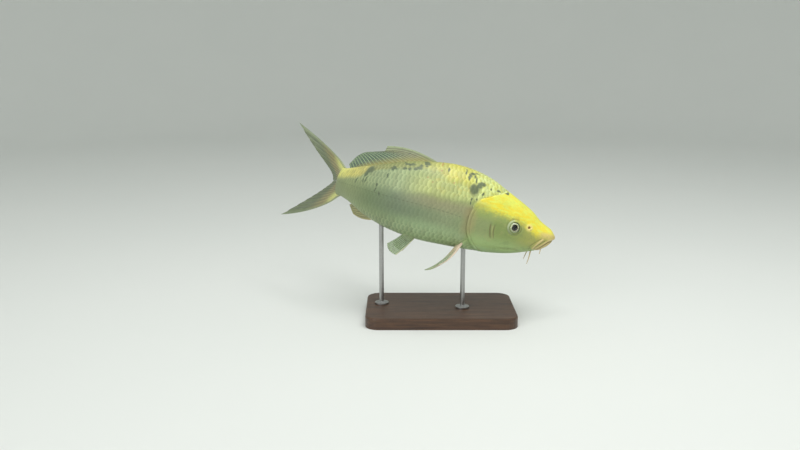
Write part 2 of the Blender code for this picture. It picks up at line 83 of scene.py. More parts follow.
# Thickness of a fin's web at root and margin, in millimetres.
FIN_THICKNESS = (1.7, 0.34)
DORSAL_BASE = (0.505, 0.906)
DORSAL_TIP_STATION = ((0.0, 0.745), (0.10, 0.752), (0.2, 0.768), (0.4, 0.803), (0.64, 0.858),
                      (0.8, 0.895), (1.0, 0.940))
DORSAL_TIP_HEIGHT = ((0.0, 0.184), (0.10, 0.162), (0.2, 0.158), (0.4, 0.151), (0.64, 0.138),
                     (0.8, 0.118), (1.0, 0.078))
DORSAL_BOW = 0.019
TAIL_FAN = {1: (0.0, math.radians(22.3)), -1: (0.0, math.radians(25.0))}
TAIL_BASE_HEIGHT = (0.0005, 0.055)
TAIL_RAYS = (0.095, 0.398)
TAIL_FORK_POWER = 1.85
TAIL_BOW = 0.010
# How far the bow turns the other way towards the lobe's tip.
TAIL_BOW_RECOIL = 1.2
TAIL_ROOT = (0.965, 0.942)
LOWER_LOBE_TRAIL = 0.10
ANAL_BASE = (0.700, 0.835)
ANAL_TIPS = ((0.832, 0.004, -0.116), (0.866, 0.003, -0.084))
ANAL_BOW = 0.012
PECTORAL_ROOTS = ((0.356, 0.062, -0.096), (0.374, 0.048, -0.118))
PECTORAL_TIPS = {"right": ((0.428, 0.172, -0.182), (0.466, 0.078, -0.236)),
                 "left": ((0.440, 0.188, -0.140), (0.490, 0.112, -0.160))}
PECTORAL_BULGE = 0.018
PECTORAL_SAG = (-0.004, 0.0, -0.012)
PELVIC_ROOTS = ((0.522, 0.024, -0.120), (0.566, 0.040, -0.116))
PELVIC_TIPS = ((0.578, 0.050, -0.218), (0.626, 0.034, -0.186))
PELVIC_BULGE = 0.010
PELVIC_SAG = (0.0, 0.0, -0.004)

CORNER_BARBEL = {"root": (0.086, -0.066), "out": 0.010, "back": 0.004, "drop": 0.056, "radius": 0.8 * MM}
LIP_BARBEL = {"root": (0.052, -0.047), "out": 0.010, "back": 0.002, "drop": 0.024, "radius": 0.6 * MM}
BARBEL_TIP_RADIUS = 0.3 * MM
BARBEL_ROOT_DEPTH = 0.012
BARBEL_POINTS = 41
BARBEL_ROUND_END = 0.06

# Face, in standard lengths, and the eye's own sizes in metres. Folds run through (station, height) points.
GAPE = ((-0.02, -0.012), (0.016, -0.012), (0.032, -0.019), (0.042, -0.029), (0.056, -0.047), (0.070, -0.063))
UPPER_LIP = ((-0.02, -0.002), (0.014, -0.004), (0.032, -0.011), (0.056, -0.036), (0.072, -0.055))
LOWER_LIP = ((-0.02, -0.021), (0.016, -0.021), (0.030, -0.029), (0.044, -0.042), (0.060, -0.058))
LIP_GROOVE = ((0.046, -0.016), (0.062, -0.032), (0.078, -0.050))
LIP_FOLD = ((0.057, -0.013), (0.070, -0.028), (0.080, -0.045), (0.085, -0.057))
CHEEK_GROOVE = ((0.064, -0.012), (0.082, -0.028), (0.098, -0.048), (0.100, -0.064))
CHIN_GROOVE = ((0.000, -0.036), (0.020, -0.036), (0.034, -0.046), (0.050, -0.060))
# Lines of the mouth and what runs beside it: (line, height, half width), the last two in millimetres.
MOUTH_FOLDS = ((GAPE, -1.5, 0.48), (UPPER_LIP, 0.45, 0.95), (LOWER_LIP, 0.45, 1.1), (LIP_GROOVE, -0.60, 0.55),
               (LIP_FOLD, 0.50, 0.75), (CHEEK_GROOVE, -0.50, 0.70), (CHIN_GROOVE, -0.40, 0.80))
PALE_FOLDS = (UPPER_LIP, LOWER_LIP, LIP_FOLD, GAPE)
# Rings round the eye: (height, radius, half width) in millimetres, and the radii where the socket drops.
EYE_FOLDS = ((0.50, 6.6, 0.9), (-0.40, 8.3, 0.8), (0.20, 10.2, 1.2))
SOCKET_DEPTH, SOCKET_EDGE = 3.0, (5.5, 4.7)
# Seam of the gill cover, in millimetres ahead of its edge, and how far behind the seam it swells.
GILL_SEAM = 3.6
SEAM_SWELLING = 1.4
CHEEK_CREASES = (((0.274, 0.006), (0.272, -0.018), (0.266, -0.040), (0.260, -0.054)),
                 ((0.257, 0.004), (0.257, -0.020), (0.253, -0.040), (0.245, -0.060)))
CHEEK_RIDGE = tuple((station - 0.0085, height) for station, height in CHEEK_CREASES[0])
JAW_LINE = ((0.10, -0.088), (0.15, -0.078), (0.22, -0.086))
# Where the faint rays of the gill cover spread from, and how close they lie.
GILL_RAYS_FROM, GILL_RAYS_PER_RADIAN = (0.262, 0.05), 26.0
BROW, BROW_HOLLOW = (0.176, 0.052), (0.135, 0.020)
PROFILE_DIP = 0.080
NOSTRIL = (0.122, 0.021)
FRONT_NOSTRIL = (NOSTRIL[0] - 0.009, NOSTRIL[1] - 0.008)
NOSTRIL_FLAP = (NOSTRIL[0] - 0.0055, NOSTRIL[1] - 0.0040)
EYE = (0.180, 0.009)
EYE_RADIUS = 6.1 * MM
EYE_DEPTH = 4.3 * MM
EYE_STANDS_OUT = 2.2 * MM
EYE_RIM_RADIUS = 5.45 * MM
EYE_RIM_THICKNESS = 0.50 * MM
PUPIL_SHARE = 0.54
PUPIL_AHEAD = 0.01
IRIS_SHARE = 0.93
# Levels of the globe's front, in eye depths: the iris at its rim, how far it dishes, and the pupil's pit.
IRIS_LEVEL, IRIS_DISH, PUPIL_PIT = 0.74, 0.08, 0.35
CORNEA_THICKNESS = 0.16 * MM

# Coat of scales.
COAT_DEPTH = 0.45 * MM
SCALE_STEP = 0.0155
SCALE_LENGTH = 2.25
SCALE_HALF_WIDTH = 0.74
ROWS_FRONT = 7
ROWS_REAR = 4
ROWS_START, ROWS_END = 0.50, 1.0
FIRST_SCALE, LAST_SCALE = 0.20, 0.985
SCALE_CELLS = (6, 7)
# Width of the usual section for its height, by which the rows are spread evenly round it.
BODY_NARROWNESS = 0.55
# How early the scales' border runs over the nape, and one scale's own shape in millimetres.
NAPE_LEAD = 0.016
SCALE_SUNK, SCALE_RISE = 0.55, 0.62
SCALE_ARCH, SCALE_CURL, SCALE_UNEVEN = 0.09, 0.07, 0.06
SCALE_THICKNESS, SCALE_THINNING = 0.20, 0.06

# Skin: points round the body, rings ahead of the gill line, in the fold of the gill, and behind it.
SKIN_SIDES = 256
HEAD_RINGS, TRUNK_RINGS = 190, 110
HEAD_SPACING = ((0.0, 0.0), (0.04, 0.004), (0.10, 0.03), (0.42, 0.30), (0.72, 0.66), (1.0, 1.0))
# Section of the gill cover's edge, (behind it, out from the body) in millimetres, and where the fold ends.
GILL_FOLD = ((-0.3, 0.45), (0.1, 0.40), (0.30, 0.22), (0.2, -0.08), (-0.5, -0.35), (-0.8, -0.65),
             (-0.3, -0.85), (0.8, -0.85), (2.0, -0.75), (3.2, -0.6))
GILL_FOLD_END = 4.5
NAPE_FOLD_STEP = 0.35


# --- Shape of the straight fish, for whole arrays of places at once ---

def along(points, at):
    """Values on the smooth curve through (place, value) points, level past its ends."""
    places, values = np.array(points, float).T
    at = np.clip(at, places[0], places[-1])
    spans = np.diff(places)
    slopes = np.diff(values) / spans
    tangents = np.concatenate([slopes[:1], (slopes[1:] + slopes[:-1]) / 2, slopes[-1:]])
    i = np.clip(np.searchsorted(places, at, side="right") - 1, 0, len(spans) - 1)
    t = (at - places[i]) / spans[i]
    return (values[i] * (1 + 2 * t) * (1 - t) ** 2 + values[i + 1] * t * t * (3 - 2 * t)
            + tangents[i] * spans[i] * t * (1 - t) ** 2 - tangents[i + 1] * spans[i] * t * t * (1 - t))


def heading(station):
    """Angle by which the spine has turned to the fish's left."""
    bent = np.clip((station - BEND_START) / (1.0 - BEND_START), 0.0, 1.0)
    past = np.maximum(station - 1.0, 0.0) / (FIN_TIP_STATION - 1.0)
    return ROOT_HEADING * bent ** BEND_POWER + (FIN_TIP_HEADING - ROOT_HEADING) * past


def spine_table():
    """Stations and the spine's points there, by adding up short steps from the snout."""
    stations = np.linspace(0.0, 1.5, 601)
    step = stations[1] - stations[0]
    turned = heading(stations[:-1] + step / 2)
    x = np.concatenate([[0.0], np.cumsum(-np.cos(turned) * step)])
    y = np.concatenate([[0.0], np.cumsum(np.sin(turned) * step)])
    return stations, x, y


SPINE = spine_table()


def spine(station):
    stations, x, y = SPINE
    ahead = np.minimum(station, 0.0)
    return np.interp(station, stations, x) - ahead, np.interp(station, stations, y)


def posed(station, side, height):
    """Places in the finished model of points on the straight fish."""
    station, side, height = np.broadcast_arrays(station, side, height)
    turn = heading(station)
    x, y = spine(station)
    pivot_x, pivot_y = spine(PIVOT_STATION)
    z = height - TAIL_DROOP * (y - pivot_y)
    x = x + np.sin(turn) * side - pivot_x
    y = y + np.cos(turn) * side - pivot_y
    cos, sin = math.cos(PITCH), math.sin(PITCH)
    tipped = np.stack([cos * x + sin * z, y, cos * z - sin * x], -1)
    return tipped * STANDARD_LENGTH + FISH_SHIFT + np.array((0.0, 0.0, FISH_HEIGHT))


def rounding(station):
    """How far the section has opened out, from 0 at either end of the body to 1."""
    share = np.clip(np.minimum(station / SNOUT_ROUNDING, (1.0 - station) / STALK_END_ROUNDING), 0.0, 1.0)
    return np.sqrt(1.0 - (1.0 - share) ** 2)


def section(station, angle):
    """(side, height) of the body's surface, on a section of unlike upper and lower halves."""
    level = along(WIDEST_LEVEL, station)
    upper = np.sin(angle) >= 0
    reach = np.where(upper, along(BACK, station), along(BELLY, station)) - level
    power = 2.0 / np.where(upper, along(UPPER_FULLNESS, station), along(LOWER_FULLNESS, station))
    across = np.sign(np.cos(angle)) * np.abs(np.cos(angle)) ** power
    up = np.abs(np.sin(angle)) ** power
    return along(HALF_WIDTH, station) * rounding(station) * across, level + reach * rounding(station) * up


def side_at(station, height):
    """Half the body's width at a height."""
    level = along(WIDEST_LEVEL, station)
    upper = height >= level
    reach = (np.where(upper, along(BACK, station), along(BELLY, station)) - level) * rounding(station)
    fullness = np.where(upper, along(UPPER_FULLNESS, station), along(LOWER_FULLNESS, station))
    up = np.clip((height - level) / reach, 0.0, 1.0)
    return along(HALF_WIDTH, station) * rounding(station) * (1.0 - up ** fullness) ** (1.0 / fullness)


def surface(station, angle):
    """(places, outward directions) of the body's surface, in the finished model."""
    def at(along_by, round_by):
        return posed(station + along_by, *section(station + along_by, angle + round_by))

    place = at(0.0, 0.0)
    along_it = at(NUDGE, 0.0) - at(-NUDGE, 0.0)
    round_it = at(0.0, NUDGE) - at(0.0, -NUDGE)
    outward = np.cross(round_it, along_it)
    away = place - posed(station, 0.0, along(WIDEST_LEVEL, station))
    outward *= np.sign((outward * away).sum(-1, keepdims=True))
    return place, units(outward)


def gill_line(angle):
    """Station where the head ends, at an angle round the body."""
    return along(GILL_LINE, np.degrees(np.arcsin(np.clip(np.sin(angle), -1.0, 1.0))))


def in_mm(share):
    """A length given in standard lengths, in millimetres."""
    return share * STANDARD_LENGTH / MM


def smooth_step(low, high, at):
    t = np.clip((at - low) / (high - low), 0.0, 1.0)
    return t * t * (3.0 - 2.0 * t)


def units(vectors):
    """The vectors with their lengths made 1."""
    return vectors / np.maximum(np.linalg.norm(vectors, axis=-1, keepdims=True), 1e-12)


def ridge(distance, width):
    """1 where the distance is nought, fading over the width."""
    return np.exp(-(distance / width) ** 2)


# --- Meshes ---

def read_points(mesh):
    places = np.empty(len(mesh.vertices) * 3, np.float32)
    mesh.vertices.foreach_get("co", places)
    return places.reshape(-1, 3).astype(float)


def write_points(mesh, places):
    mesh.vertices.foreach_set("co", places.astype(np.float32).ravel())
    mesh.update()


def add_attribute(mesh, name, values):
    is_vector = values.ndim == 2
    layer = mesh.attributes.new(name, "FLOAT_VECTOR" if is_vector else "FLOAT", "POINT")
    layer.data.foreach_set("vector" if is_vector else "value", values.astype(np.float32).ravel())


def mesh_of(name, shape):
    mesh = bpy.data.meshes.new(name)
    shape.to_mesh(mesh)
    shape.free()
    return mesh


def turned_mesh(name, shape):
    """The mesh of an outline turned round Z."""
    bmesh.ops.spin(shape, geom=shape.verts[:] + shape.edges[:], cent=(0.0, 0.0, 0.0), axis=(0.0, 0.0, 1.0),
                   angle=2 * math.pi, steps=96, use_merge=True)
    bmesh.ops.remove_doubles(shape, verts=shape.verts, dist=1e-5)
    bmesh.ops.recalc_face_normals(shape, faces=shape.faces)
    return mesh_of(name, shape)


def face_outward(mesh):
    """Turns a closed mesh whose faces all point inwards."""
    shape = bmesh.new()
    shape.from_mesh(mesh)
    if shape.calc_volume(signed=True) < 0:
        bmesh.ops.reverse_faces(shape, faces=shape.faces)
    shape.to_mesh(mesh)
    shape.free()


def add_piece(name, mesh, material, nodes, crease=None):
    """A finished mesh shown in place of the CAD nodes it stands for."""
    piece = bpy.data.objects.new(name, mesh)
    bpy.context.scene.collection.objects.link(piece)
    mesh.materials.append(material)
    mesh.shade_smooth()
    if crease:
        mesh.set_sharp_from_angle(angle=math.radians(crease))
    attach(piece, "root")
    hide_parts(*nodes)
    return piece


def sphere_mesh(name, around, rings):
    """(mesh, ring share from pole to pole, longitude) of a unit sphere whose poles are on Z."""
    shape = bmesh.new()
    bmesh.ops.create_uvsphere(shape, u_segments=around, v_segments=rings, radius=1.0)
    mesh = mesh_of(name, shape)
    places = read_points(mesh)
    share = np.arccos(np.clip(places[:, 2], -1.0, 1.0)) / math.pi
    return mesh, share, np.arctan2(places[:, 1], places[:, 0])


def plate_mesh(name, across, out):
    """(mesh, places) of a closed plate: each place is (share across, share out, 1 on top and 0 below)."""
    shape = bmesh.new()
    bmesh.ops.create_grid(shape, x_segments=across, y_segments=out, size=0.5)
    bmesh.ops.translate(shape, vec=(0.5, 0.5, 0.0), verts=shape.verts)
    layer = shape.loops.layers.uv.new("plate")
    for face in shape.faces:
        for loop in face.loops:
            loop[layer].uv = loop.vert.co.xy
    bmesh.ops.solidify(shape, geom=shape.faces[:], thickness=1.0)
    mesh = mesh_of(name, shape)
    places = read_points(mesh)
    places[:, 2] -= places[:, 2].min()
    return mesh, places


# --- Relief of the skin, in millimetres out from the smooth body ---

def away_from(centre, station, height):
    """Distance in millimetres from a (station, height) on the flank."""
    return in_mm(np.hypot(station - centre[0], height - centre[1]))


def away_from_line(points, station, height):
    """Distance in millimetres from a line through (station, height) points."""
    nearest = np.full(np.shape(station), 9.0)
    for start, end in zip(np.array(points[:-1]), np.array(points[1:])):
        run = end - start
        share = ((station - start[0]) * run[0] + (height - start[1]) * run[1]) / (run @ run)
        place = start[:, None] + run[:, None] * np.clip(share, 0.0, 1.0)
        nearest = np.minimum(nearest, np.hypot(station - place[0], height - place[1]))
    return in_mm(nearest)


def mouth_relief(station, height):
    """The closed gape, the lips either side of it, and the folds at its corners."""
    return sum(rise * ridge(away_from_line(line, station, height), width)
               for line, rise, width in MOUTH_FOLDS)


def snout_relief(station, height):
    """A rounded tip, a short chin and a dip in the profile over the nostrils."""
    chin = smooth_step(0.05, 0.0, station) * smooth_step(-0.006, -0.020, height)
    dip = ridge(in_mm(station - PROFILE_DIP), 7.0) * smooth_step(0.015, 0.045, height)
    return -0.8 * chin - 1.2 * smooth_step(0.035, 0.0, station) - 0.8 * dip


def eye_relief(station, side, height):
    """The socket, the ring of skin round the eye and the groove outside that."""
    deep = in_mm(np.abs(side) - side_at(*np.array(EYE)))
    away = np.hypot(away_from(EYE, station, height), deep)
    rings = sum(rise * ridge(away - radius, width) for rise, radius, width in EYE_FOLDS)
    return rings - SOCKET_DEPTH * smooth_step(*SOCKET_EDGE, away)


def nostril_relief(station, height):
    """Two openings, one over the other, with a flap between them, on a low mound."""
    away = away_from(NOSTRIL, station, height)
    front = away_from(FRONT_NOSTRIL, station, height)
    flap = away_from(NOSTRIL_FLAP, station, height)
    return (0.35 * ridge(away, 4.2) - 2.0 * ridge(away, 1.05) - 0.9 * ridge(front, 0.7)
            + 0.65 * ridge(flap, 0.8) + 0.28 * ridge(away - 2.6, 0.8))


def crease_ends(height):
    """Lets the cheek's creases run out at both ends."""
    return smooth_step(-0.066, -0.040, height) * smooth_step(0.012, -0.008, height)


def cheek_relief(station, height):
    """Edges of the plates under the cheek's skin, and the faint rays of the gill cover."""
    rear, front = (away_from_line(line, station, height) for line in CHEEK_CREASES)
    swelling = away_from_line(CHEEK_RIDGE, station, height)
    under = in_mm(height - along(JAW_LINE, station))
    jaw = smooth_step(0.11, 0.13, station) * smooth_step(0.235, 0.20, station)
    turned = np.arctan2(height - GILL_RAYS_FROM[1], station - GILL_RAYS_FROM[0])
    rays = np.cos(turned * GILL_RAYS_PER_RADIAN)
    plate = smooth_step(0.272, 0.29, station) * smooth_step(-0.11, -0.08, height)
    creases = -0.95 * ridge(rear, 0.80) - 0.80 * ridge(front, 0.70) + 0.40 * ridge(swelling, 0.8)
    jaw = jaw * (-0.45 * ridge(under, 1.1) + 0.25 * ridge(under - 2.6, 1.6))
    return creases * crease_ends(height) + 0.05 * rays * plate + jaw


def brow_relief(station, height):
    """A low ridge over the eye and the hollow ahead of it."""
    brow = away_from(BROW, station, BROW[1] + (height - BROW[1]) * 0.75)
    hollow = away_from(BROW_HOLLOW, station, height)
    return 0.55 * ridge(brow, 6.0) - 0.5 * ridge(hollow, 5.0)


def throat_relief(station, side, height):
    """Folds of the gill membranes under the head."""
    under = smooth_step(-0.060, -0.085, height) * smooth_step(0.10, 0.14, station)
    off_middle = in_mm(np.abs(side))
    return under * (-0.7 * ridge(off_middle - 2.5 - (station - 0.12) * 36.0, 0.8)
                    - 0.5 * ridge(off_middle - 7.0 - (station - 0.12) * 28.0, 0.7))


def gill_share(angle):
    """1 where the gill cover stands free of the body, 0 at the nape."""
    degrees = np.degrees(np.arcsin(np.clip(np.sin(angle), -1.0, 1.0)))
    return smooth_step(24.0, 10.0, degrees) * smooth_step(-88.0, -72.0, degrees)


def relief(station, angle):
    """(folds and openings of the face, its broader forms), in millimetres."""
    side, height = section(station, angle)
    ahead = in_mm(gill_line(angle) - station)
    lift = 0.45 * smooth_step(16.0, 1.0, ahead) * gill_share(angle)
    seam = 0.22 * ridge(ahead - GILL_SEAM + SEAM_SWELLING, 1.0) - 0.50 * ridge(ahead - GILL_SEAM, 0.7)
    folds = (mouth_relief(station, height) + eye_relief(station, side, height)
             + nostril_relief(station, height) + cheek_relief(station, height)
             + throat_relief(station, side, height) + gill_share(angle) * seam)
    forms = snout_relief(station, height) + brow_relief(station, height)
    return np.where(ahead > 0, folds, 0.0), np.where(ahead > 0, forms, 0.0) + lift


def make_skin(material):
    """The whole body: head, one ring after another of the gill's fold, then the trunk under the scales."""
    rings = HEAD_RINGS + len(GILL_FOLD) + TRUNK_RINGS
    mesh, share, angle = sphere_mesh("skin", SKIN_SIDES, rings)
    ring = np.rint(share * rings).astype(int)
    edge = gill_line(angle)
    fold_mm = np.array(GILL_FOLD)
    fold_end = edge + GILL_FOLD_END * MM / STANDARD_LENGTH

    # Ahead of the gill line.
    in_head = np.clip(ring / HEAD_RINGS, 0.0, 1.0)
    station = edge * along(HEAD_SPACING, in_head)
    raised, forms = relief(station, angle)
    raised = np.where(ring <= HEAD_RINGS, raised, 0.0)
    out = (raised + forms) * MM

    # In the fold, where the profile flattens out towards the nape.
    step = np.clip(ring - HEAD_RINGS - 1, 0, len(GILL_FOLD) - 1)
    free = gill_share(angle)
    flat_behind = (step + 1) * NAPE_FOLD_STEP
    behind = free * fold_mm[step, 0] + (1.0 - free) * flat_behind
    flat_out = -COAT_DEPTH / MM * smooth_step(0, len(GILL_FOLD) - 1, step)
    lift = free * fold_mm[step, 1] + (1.0 - free) * flat_out
    in_fold = (ring > HEAD_RINGS) & (ring <= HEAD_RINGS + len(GILL_FOLD))
    station = np.where(in_fold, edge + behind * MM / STANDARD_LENGTH, station)
    out = np.where(in_fold, lift * MM, out)

    # Behind it.
    t = (ring - HEAD_RINGS - len(GILL_FOLD)) / TRUNK_RINGS
    in_trunk = t > 0
    t = np.sin(np.clip(t, 0.0, 1.0) * math.pi / 2)
    station = np.where(in_trunk, fold_end + (1.0 - fold_end) * t, station)
    out = np.where(in_trunk, -COAT_DEPTH, out)

    at_pole = (ring == 0) | (ring == rings)
    angle = np.where(at_pole, math.pi / 2, angle)
    station = np.where(ring == 0, 0.0, station)
    side, height = section(station, angle)
    height = np.where(at_pole, along(WIDEST_LEVEL, station), height)
    write_points(mesh, posed(station, side, height))
    face_outward(mesh)
    normals = np.empty(len(mesh.vertices) * 3, np.float32)
    mesh.vertex_normals.foreach_get("vector", normals)
    write_points(mesh, read_points(mesh) + normals.reshape(-1, 3) * out[:, None])
    add_attribute(mesh, "straight", np.stack([station, side, height], 1))
    # How far the face is sunk in its folds and hollows, which the skin's material paints as shade.
    add_attribute(mesh, "hollow", np.clip(-raised, 0.0, 1.0))
    lips = sum(ridge(away_from_line(line, station, height), 1.3) for line in PALE_FOLDS)
    # A painted highlight along the cheek's ridge, beside its crease; it shares the lips' attribute.
    pale = 0.50 * ridge(away_from_line(CHEEK_RIDGE, station, height), 0.9) * crease_ends(height)
    add_attribute(mesh, "lips", np.clip(lips + pale, 0.0, 1.0))
    nodes = ("head", "lower_jaw", "gill_cover_left", "gill_cover_right", "trunk", "tail_stalk")
    return add_piece("skin", mesh, material, nodes)


# --- Scales ---

def row_table():
    """(shares of the way round a quarter section, angles there), for the body's usual proportions."""
    angles = np.linspace(0.0, math.pi / 2, 91)
    middle = (angles[1:] + angles[:-1]) / 2
    steps = np.sqrt(np.cos(middle) ** 2 + (BODY_NARROWNESS * np.sin(middle)) ** 2)
    shares = np.concatenate([[0.0], np.cumsum(steps)])
    return shares / shares[-1], angles


ROW_TABLE = row_table()


def row_angle(share):
    """Angle round the body at a share of the way from the flank to the back (1) or the belly (-1)."""
    over = np.abs(share) > 1.0
    inner = np.where(over, 2.0 - np.abs(share), np.abs(share))
    angle = np.interp(inner, *ROW_TABLE)
    return np.sign(share) * np.where(over, math.pi - angle, angle)


def rows_at(station):
    """Rows of scales from the flank to the back, fewer towards the tail."""
    return ROWS_FRONT + (ROWS_REAR - ROWS_FRONT) * np.clip(
        (station - ROWS_START) / (ROWS_END - ROWS_START), 0.0, 1.0)


def scale_roots():
    """(station, share round, hand, row) of every scale: staggered rows that run along the flanks."""
    roots = []
    for row in range(-ROWS_FRONT, ROWS_FRONT + 1):
        for step in range(int((LAST_SCALE - FIRST_SCALE) / SCALE_STEP) + 1):
            station = FIRST_SCALE + SCALE_STEP * (step + 0.5 * (row % 2))
            share = row / rows_at(station)
            angle = row_angle(share)
            over_nape = NAPE_LEAD * smooth_step(0.35, 0.9, angle)
            ahead = station < gill_line(angle) - 0.4 * SCALE_STEP - over_nape
            if ahead or abs(share) > 1.0 + 1e-6 or station > LAST_SCALE:
                continue
            for hand in (1, -1):
                if hand > 0 or abs(share) < 1.0 - 1e-6:
                    roots.append((station, share, hand, row))
    return np.array(roots)


def scale_template():
    """(mesh, places) of one closed plate: each place is (share to the rear edge, share across, 1 on top)."""
    shape = bmesh.new()
    bmesh.ops.create_grid(shape, x_segments=SCALE_CELLS[0], y_segments=SCALE_CELLS[1], size=0.5)
    bmesh.ops.translate(shape, vec=(0.5, 0.5, 1.0), verts=shape.verts)
    rim = [edge for edge in shape.edges if edge.is_boundary]
    dropped = bmesh.ops.extrude_edge_only(shape, edges=rim)["geom"]
    low = [item for item in dropped if isinstance(item, bmesh.types.BMVert)]
    bmesh.ops.translate(shape, vec=(0.0, 0.0, -1.0), verts=low)
    bmesh.ops.contextual_create(shape, geom=[edge for edge in shape.edges if edge.is_boundary])
    layer = shape.loops.layers.uv.new("plate")
    for face in shape.faces:
        for loop in face.loops:
            inward = 1.0 if loop.vert.co.z > 0.5 else 0.9
            loop[layer].uv = (loop.vert.co.xy - Vector((0.5, 0.5))) * inward + Vector((0.5, 0.5))
    mesh = mesh_of("scale", shape)
    return mesh, read_points(mesh)


def arrayed(mesh, count):
    """The mesh repeated in one, copy after copy."""
    single = bpy.data.objects.new("single", mesh)
    bpy.context.scene.collection.objects.link(single)
    array = single.modifiers.new("array", "ARRAY")
    array.count = count
    array.use_relative_offset = False
    repeated = bpy.data.meshes.new_from_object(single.evaluated_get(bpy.context.evaluated_depsgraph_get()))
    bpy.data.objects.remove(single)
    return repeated


def make_scales(name, roots, material):
    """One flank's scales in one piece, each laid on the skin and lapped on the next."""
    single, template = scale_template()
    count = len(template)
    mesh = arrayed(single, len(roots))
    mesh.name = name
    root_station, root_share, hand, row = (column[:, None] for column in roots.T)
    back, across, top = template.T
    back = 1.0 - (1.0 - back) ** 1.35
    across = 2.0 * across - 1.0
    across = np.sign(across) * (1.0 - (1.0 - np.abs(across)) ** 1.25)
    chance = np.random.default_rng(5).random((len(roots), 4))

    rows = rows_at(root_station)
    size = 1.0 + 0.05 * (chance[:, :1] - 0.5)
    length = SCALE_LENGTH * SCALE_STEP * size
    reach = back * (1.0 - 0.34 * across ** 2 * back - 0.05 * across ** 6 * back)
    spread = across * SCALE_HALF_WIDTH * (0.84 + 0.16 * np.sin(back * math.pi / 2))
    station = np.minimum(root_station + length * reach, 0.999)
    share = root_share + spread / rows * size
    angle = row_angle(share)
    angle = np.where(hand > 0, angle, math.pi - angle)
    place, outward = surface(station, angle)

    exposed = np.clip((reach * SCALE_LENGTH - SCALE_LENGTH + 1.1) / 1.1, 0.0, 1.0)
    lift = (-SCALE_SUNK + SCALE_RISE * reach - SCALE_CURL * across ** 2 * back
            + SCALE_ARCH * np.sin(math.pi * exposed) + SCALE_UNEVEN * (chance[:, 1:2] - 0.5) * back)
    thickness = SCALE_THICKNESS - SCALE_THINNING * back
    bare = in_mm(gill_line(root_share * math.pi / 2) - station)
    lift = lift + COAT_DEPTH / MM * smooth_step(0.0, 3.0, bare)
    out = (lift + (top - 1.0) * thickness) * MM * smooth_step(1.05, 0.97, station)
    write_points(mesh, (place + outward * out[..., None]).reshape(-1, 3))
    face_outward(mesh)
    side, height = section(station, angle)
    add_attribute(mesh, "straight", np.stack([station, side, height], -1).reshape(-1, 3))
    add_attribute(mesh, "tone", np.repeat(chance[:, 2], count))
    add_attribute(mesh, "middle_row", np.repeat(np.abs(row[:, 0]) < 0.5, count).astype(float))
    lay_bake_map(mesh, roots, count)
    return add_piece(name, mesh, material, ("trunk", "tail_stalk"), crease=50)


def lay_bake_map(mesh, roots, count):
    """UV map OFBake: each scale is a small patch at its root's place on the unwrapped flank."""
    station, share = roots[:, 0], roots[:, 1]
    u = 0.02 + 0.96 * (station - station.min()) / (station.max() - station.min())
    v = 0.5 + 0.48 * share
    corners = np.empty(len(mesh.loops), np.int32)
    mesh.loops.foreach_get("vertex_index", corners)
    own = np.empty(len(mesh.loops) * 2, np.float32)
    mesh.uv_layers["plate"].data.foreach_get("uv", own)
    scale = corners // count
    places = np.stack([u[scale], v[scale]], 1) + 0.003 * (own.reshape(-1, 2) - 0.5)
    mesh.uv_layers.new(name="OFBake").data.foreach_set("uv", places.astype(np.float32).ravel())


def make_coat(material):
    roots = scale_roots()
    for side, hand in (("left", 1), ("right", -1)):
        make_scales(f"scales_{side}", roots[roots[:, 2] == hand], material)


# --- Fins ---

def fin_rays(u, v, count):
    """How far a place on a fin is on a ray, 0 to 1: rays start single and fork twice towards the margin."""
    offset = u * count - np.floor(u * count) - 0.5
    fork = 0.17 * smooth_step(0.35, 0.9, v)
    twig = 0.075 * smooth_step(0.65, 1.0, v)
    width = 0.17 - 0.11 * smooth_step(0.0, 0.9, v)
    lines = [ridge(offset - a * fork - b * twig, width) for a in (-1, 1) for b in (-1, 1)]
    return np.max(lines, axis=0)


def make_fin(name, place, count, steps, look, node, sway=0.0, leading=0.08):
    """A fin from place(across the fan, along the ray), with modelled rays, a thin web and a worn margin."""
    mesh, template = plate_mesh(name, count * 14, steps)
    u, v, top = template.T
    notch = 0.016 * (1.0 - np.abs(np.cos(math.pi * (u * count))) ** 0.7) * smooth_step(0.8, 1.0, v)
    out = v * (1.0 - notch)

    def at(a, b):
        return posed(*place(np.clip(a, 0.0, 1.0), np.clip(b, 0.0, 1.0)))

    middle = at(u, out)
    normal = units(np.cross(at(u + NUDGE, out) - at(u - NUDGE, out), at(u, out + NUDGE) - at(u, out - NUDGE)))
    rays = fin_rays(u, v, count)
    edge_ray = ridge(u, leading)
    root, rim = FIN_THICKNESS
    thick = (rim + (root - rim) * (1.0 - v) ** 2.2 + 0.55 * rays * (1.0 - 0.75 * v)
             + 0.5 * edge_ray * (1.0 - v))
    wave = sway * np.sin(u * 9.0 + v * 2.0) * v ** 1.5 + 0.12 * np.cos(2 * math.pi * u * count) * v
    shift = (wave + (top - 0.5) * thick) * MM
    write_points(mesh, middle + normal * shift[:, None])
    face_outward(mesh)
    add_attribute(mesh, "ray", np.maximum(rays, edge_ray))
    add_attribute(mesh, "out", v)
    add_attribute(mesh, "across", u)
    return add_piece(name, mesh, look, (node,), crease=70)


def between(first, last, share):
    """The value a share of the way from one to another."""
    return first + (last - first) * share


def arch(v):
    """0 at both ends of a ray and 1 at its middle."""
    return 4 * v * (1 - v)


def dorsal_place(u, v):
    root = between(*DORSAL_BASE, u)
    low = along(BACK, root) - FIN_ROOT_DEPTH
    station = between(root, along(DORSAL_TIP_STATION, u), v)
    height = between(low, along(DORSAL_TIP_HEIGHT, u), v)
    return station, 0.0 * u, height + DORSAL_BOW * (1 - u) * arch(v)


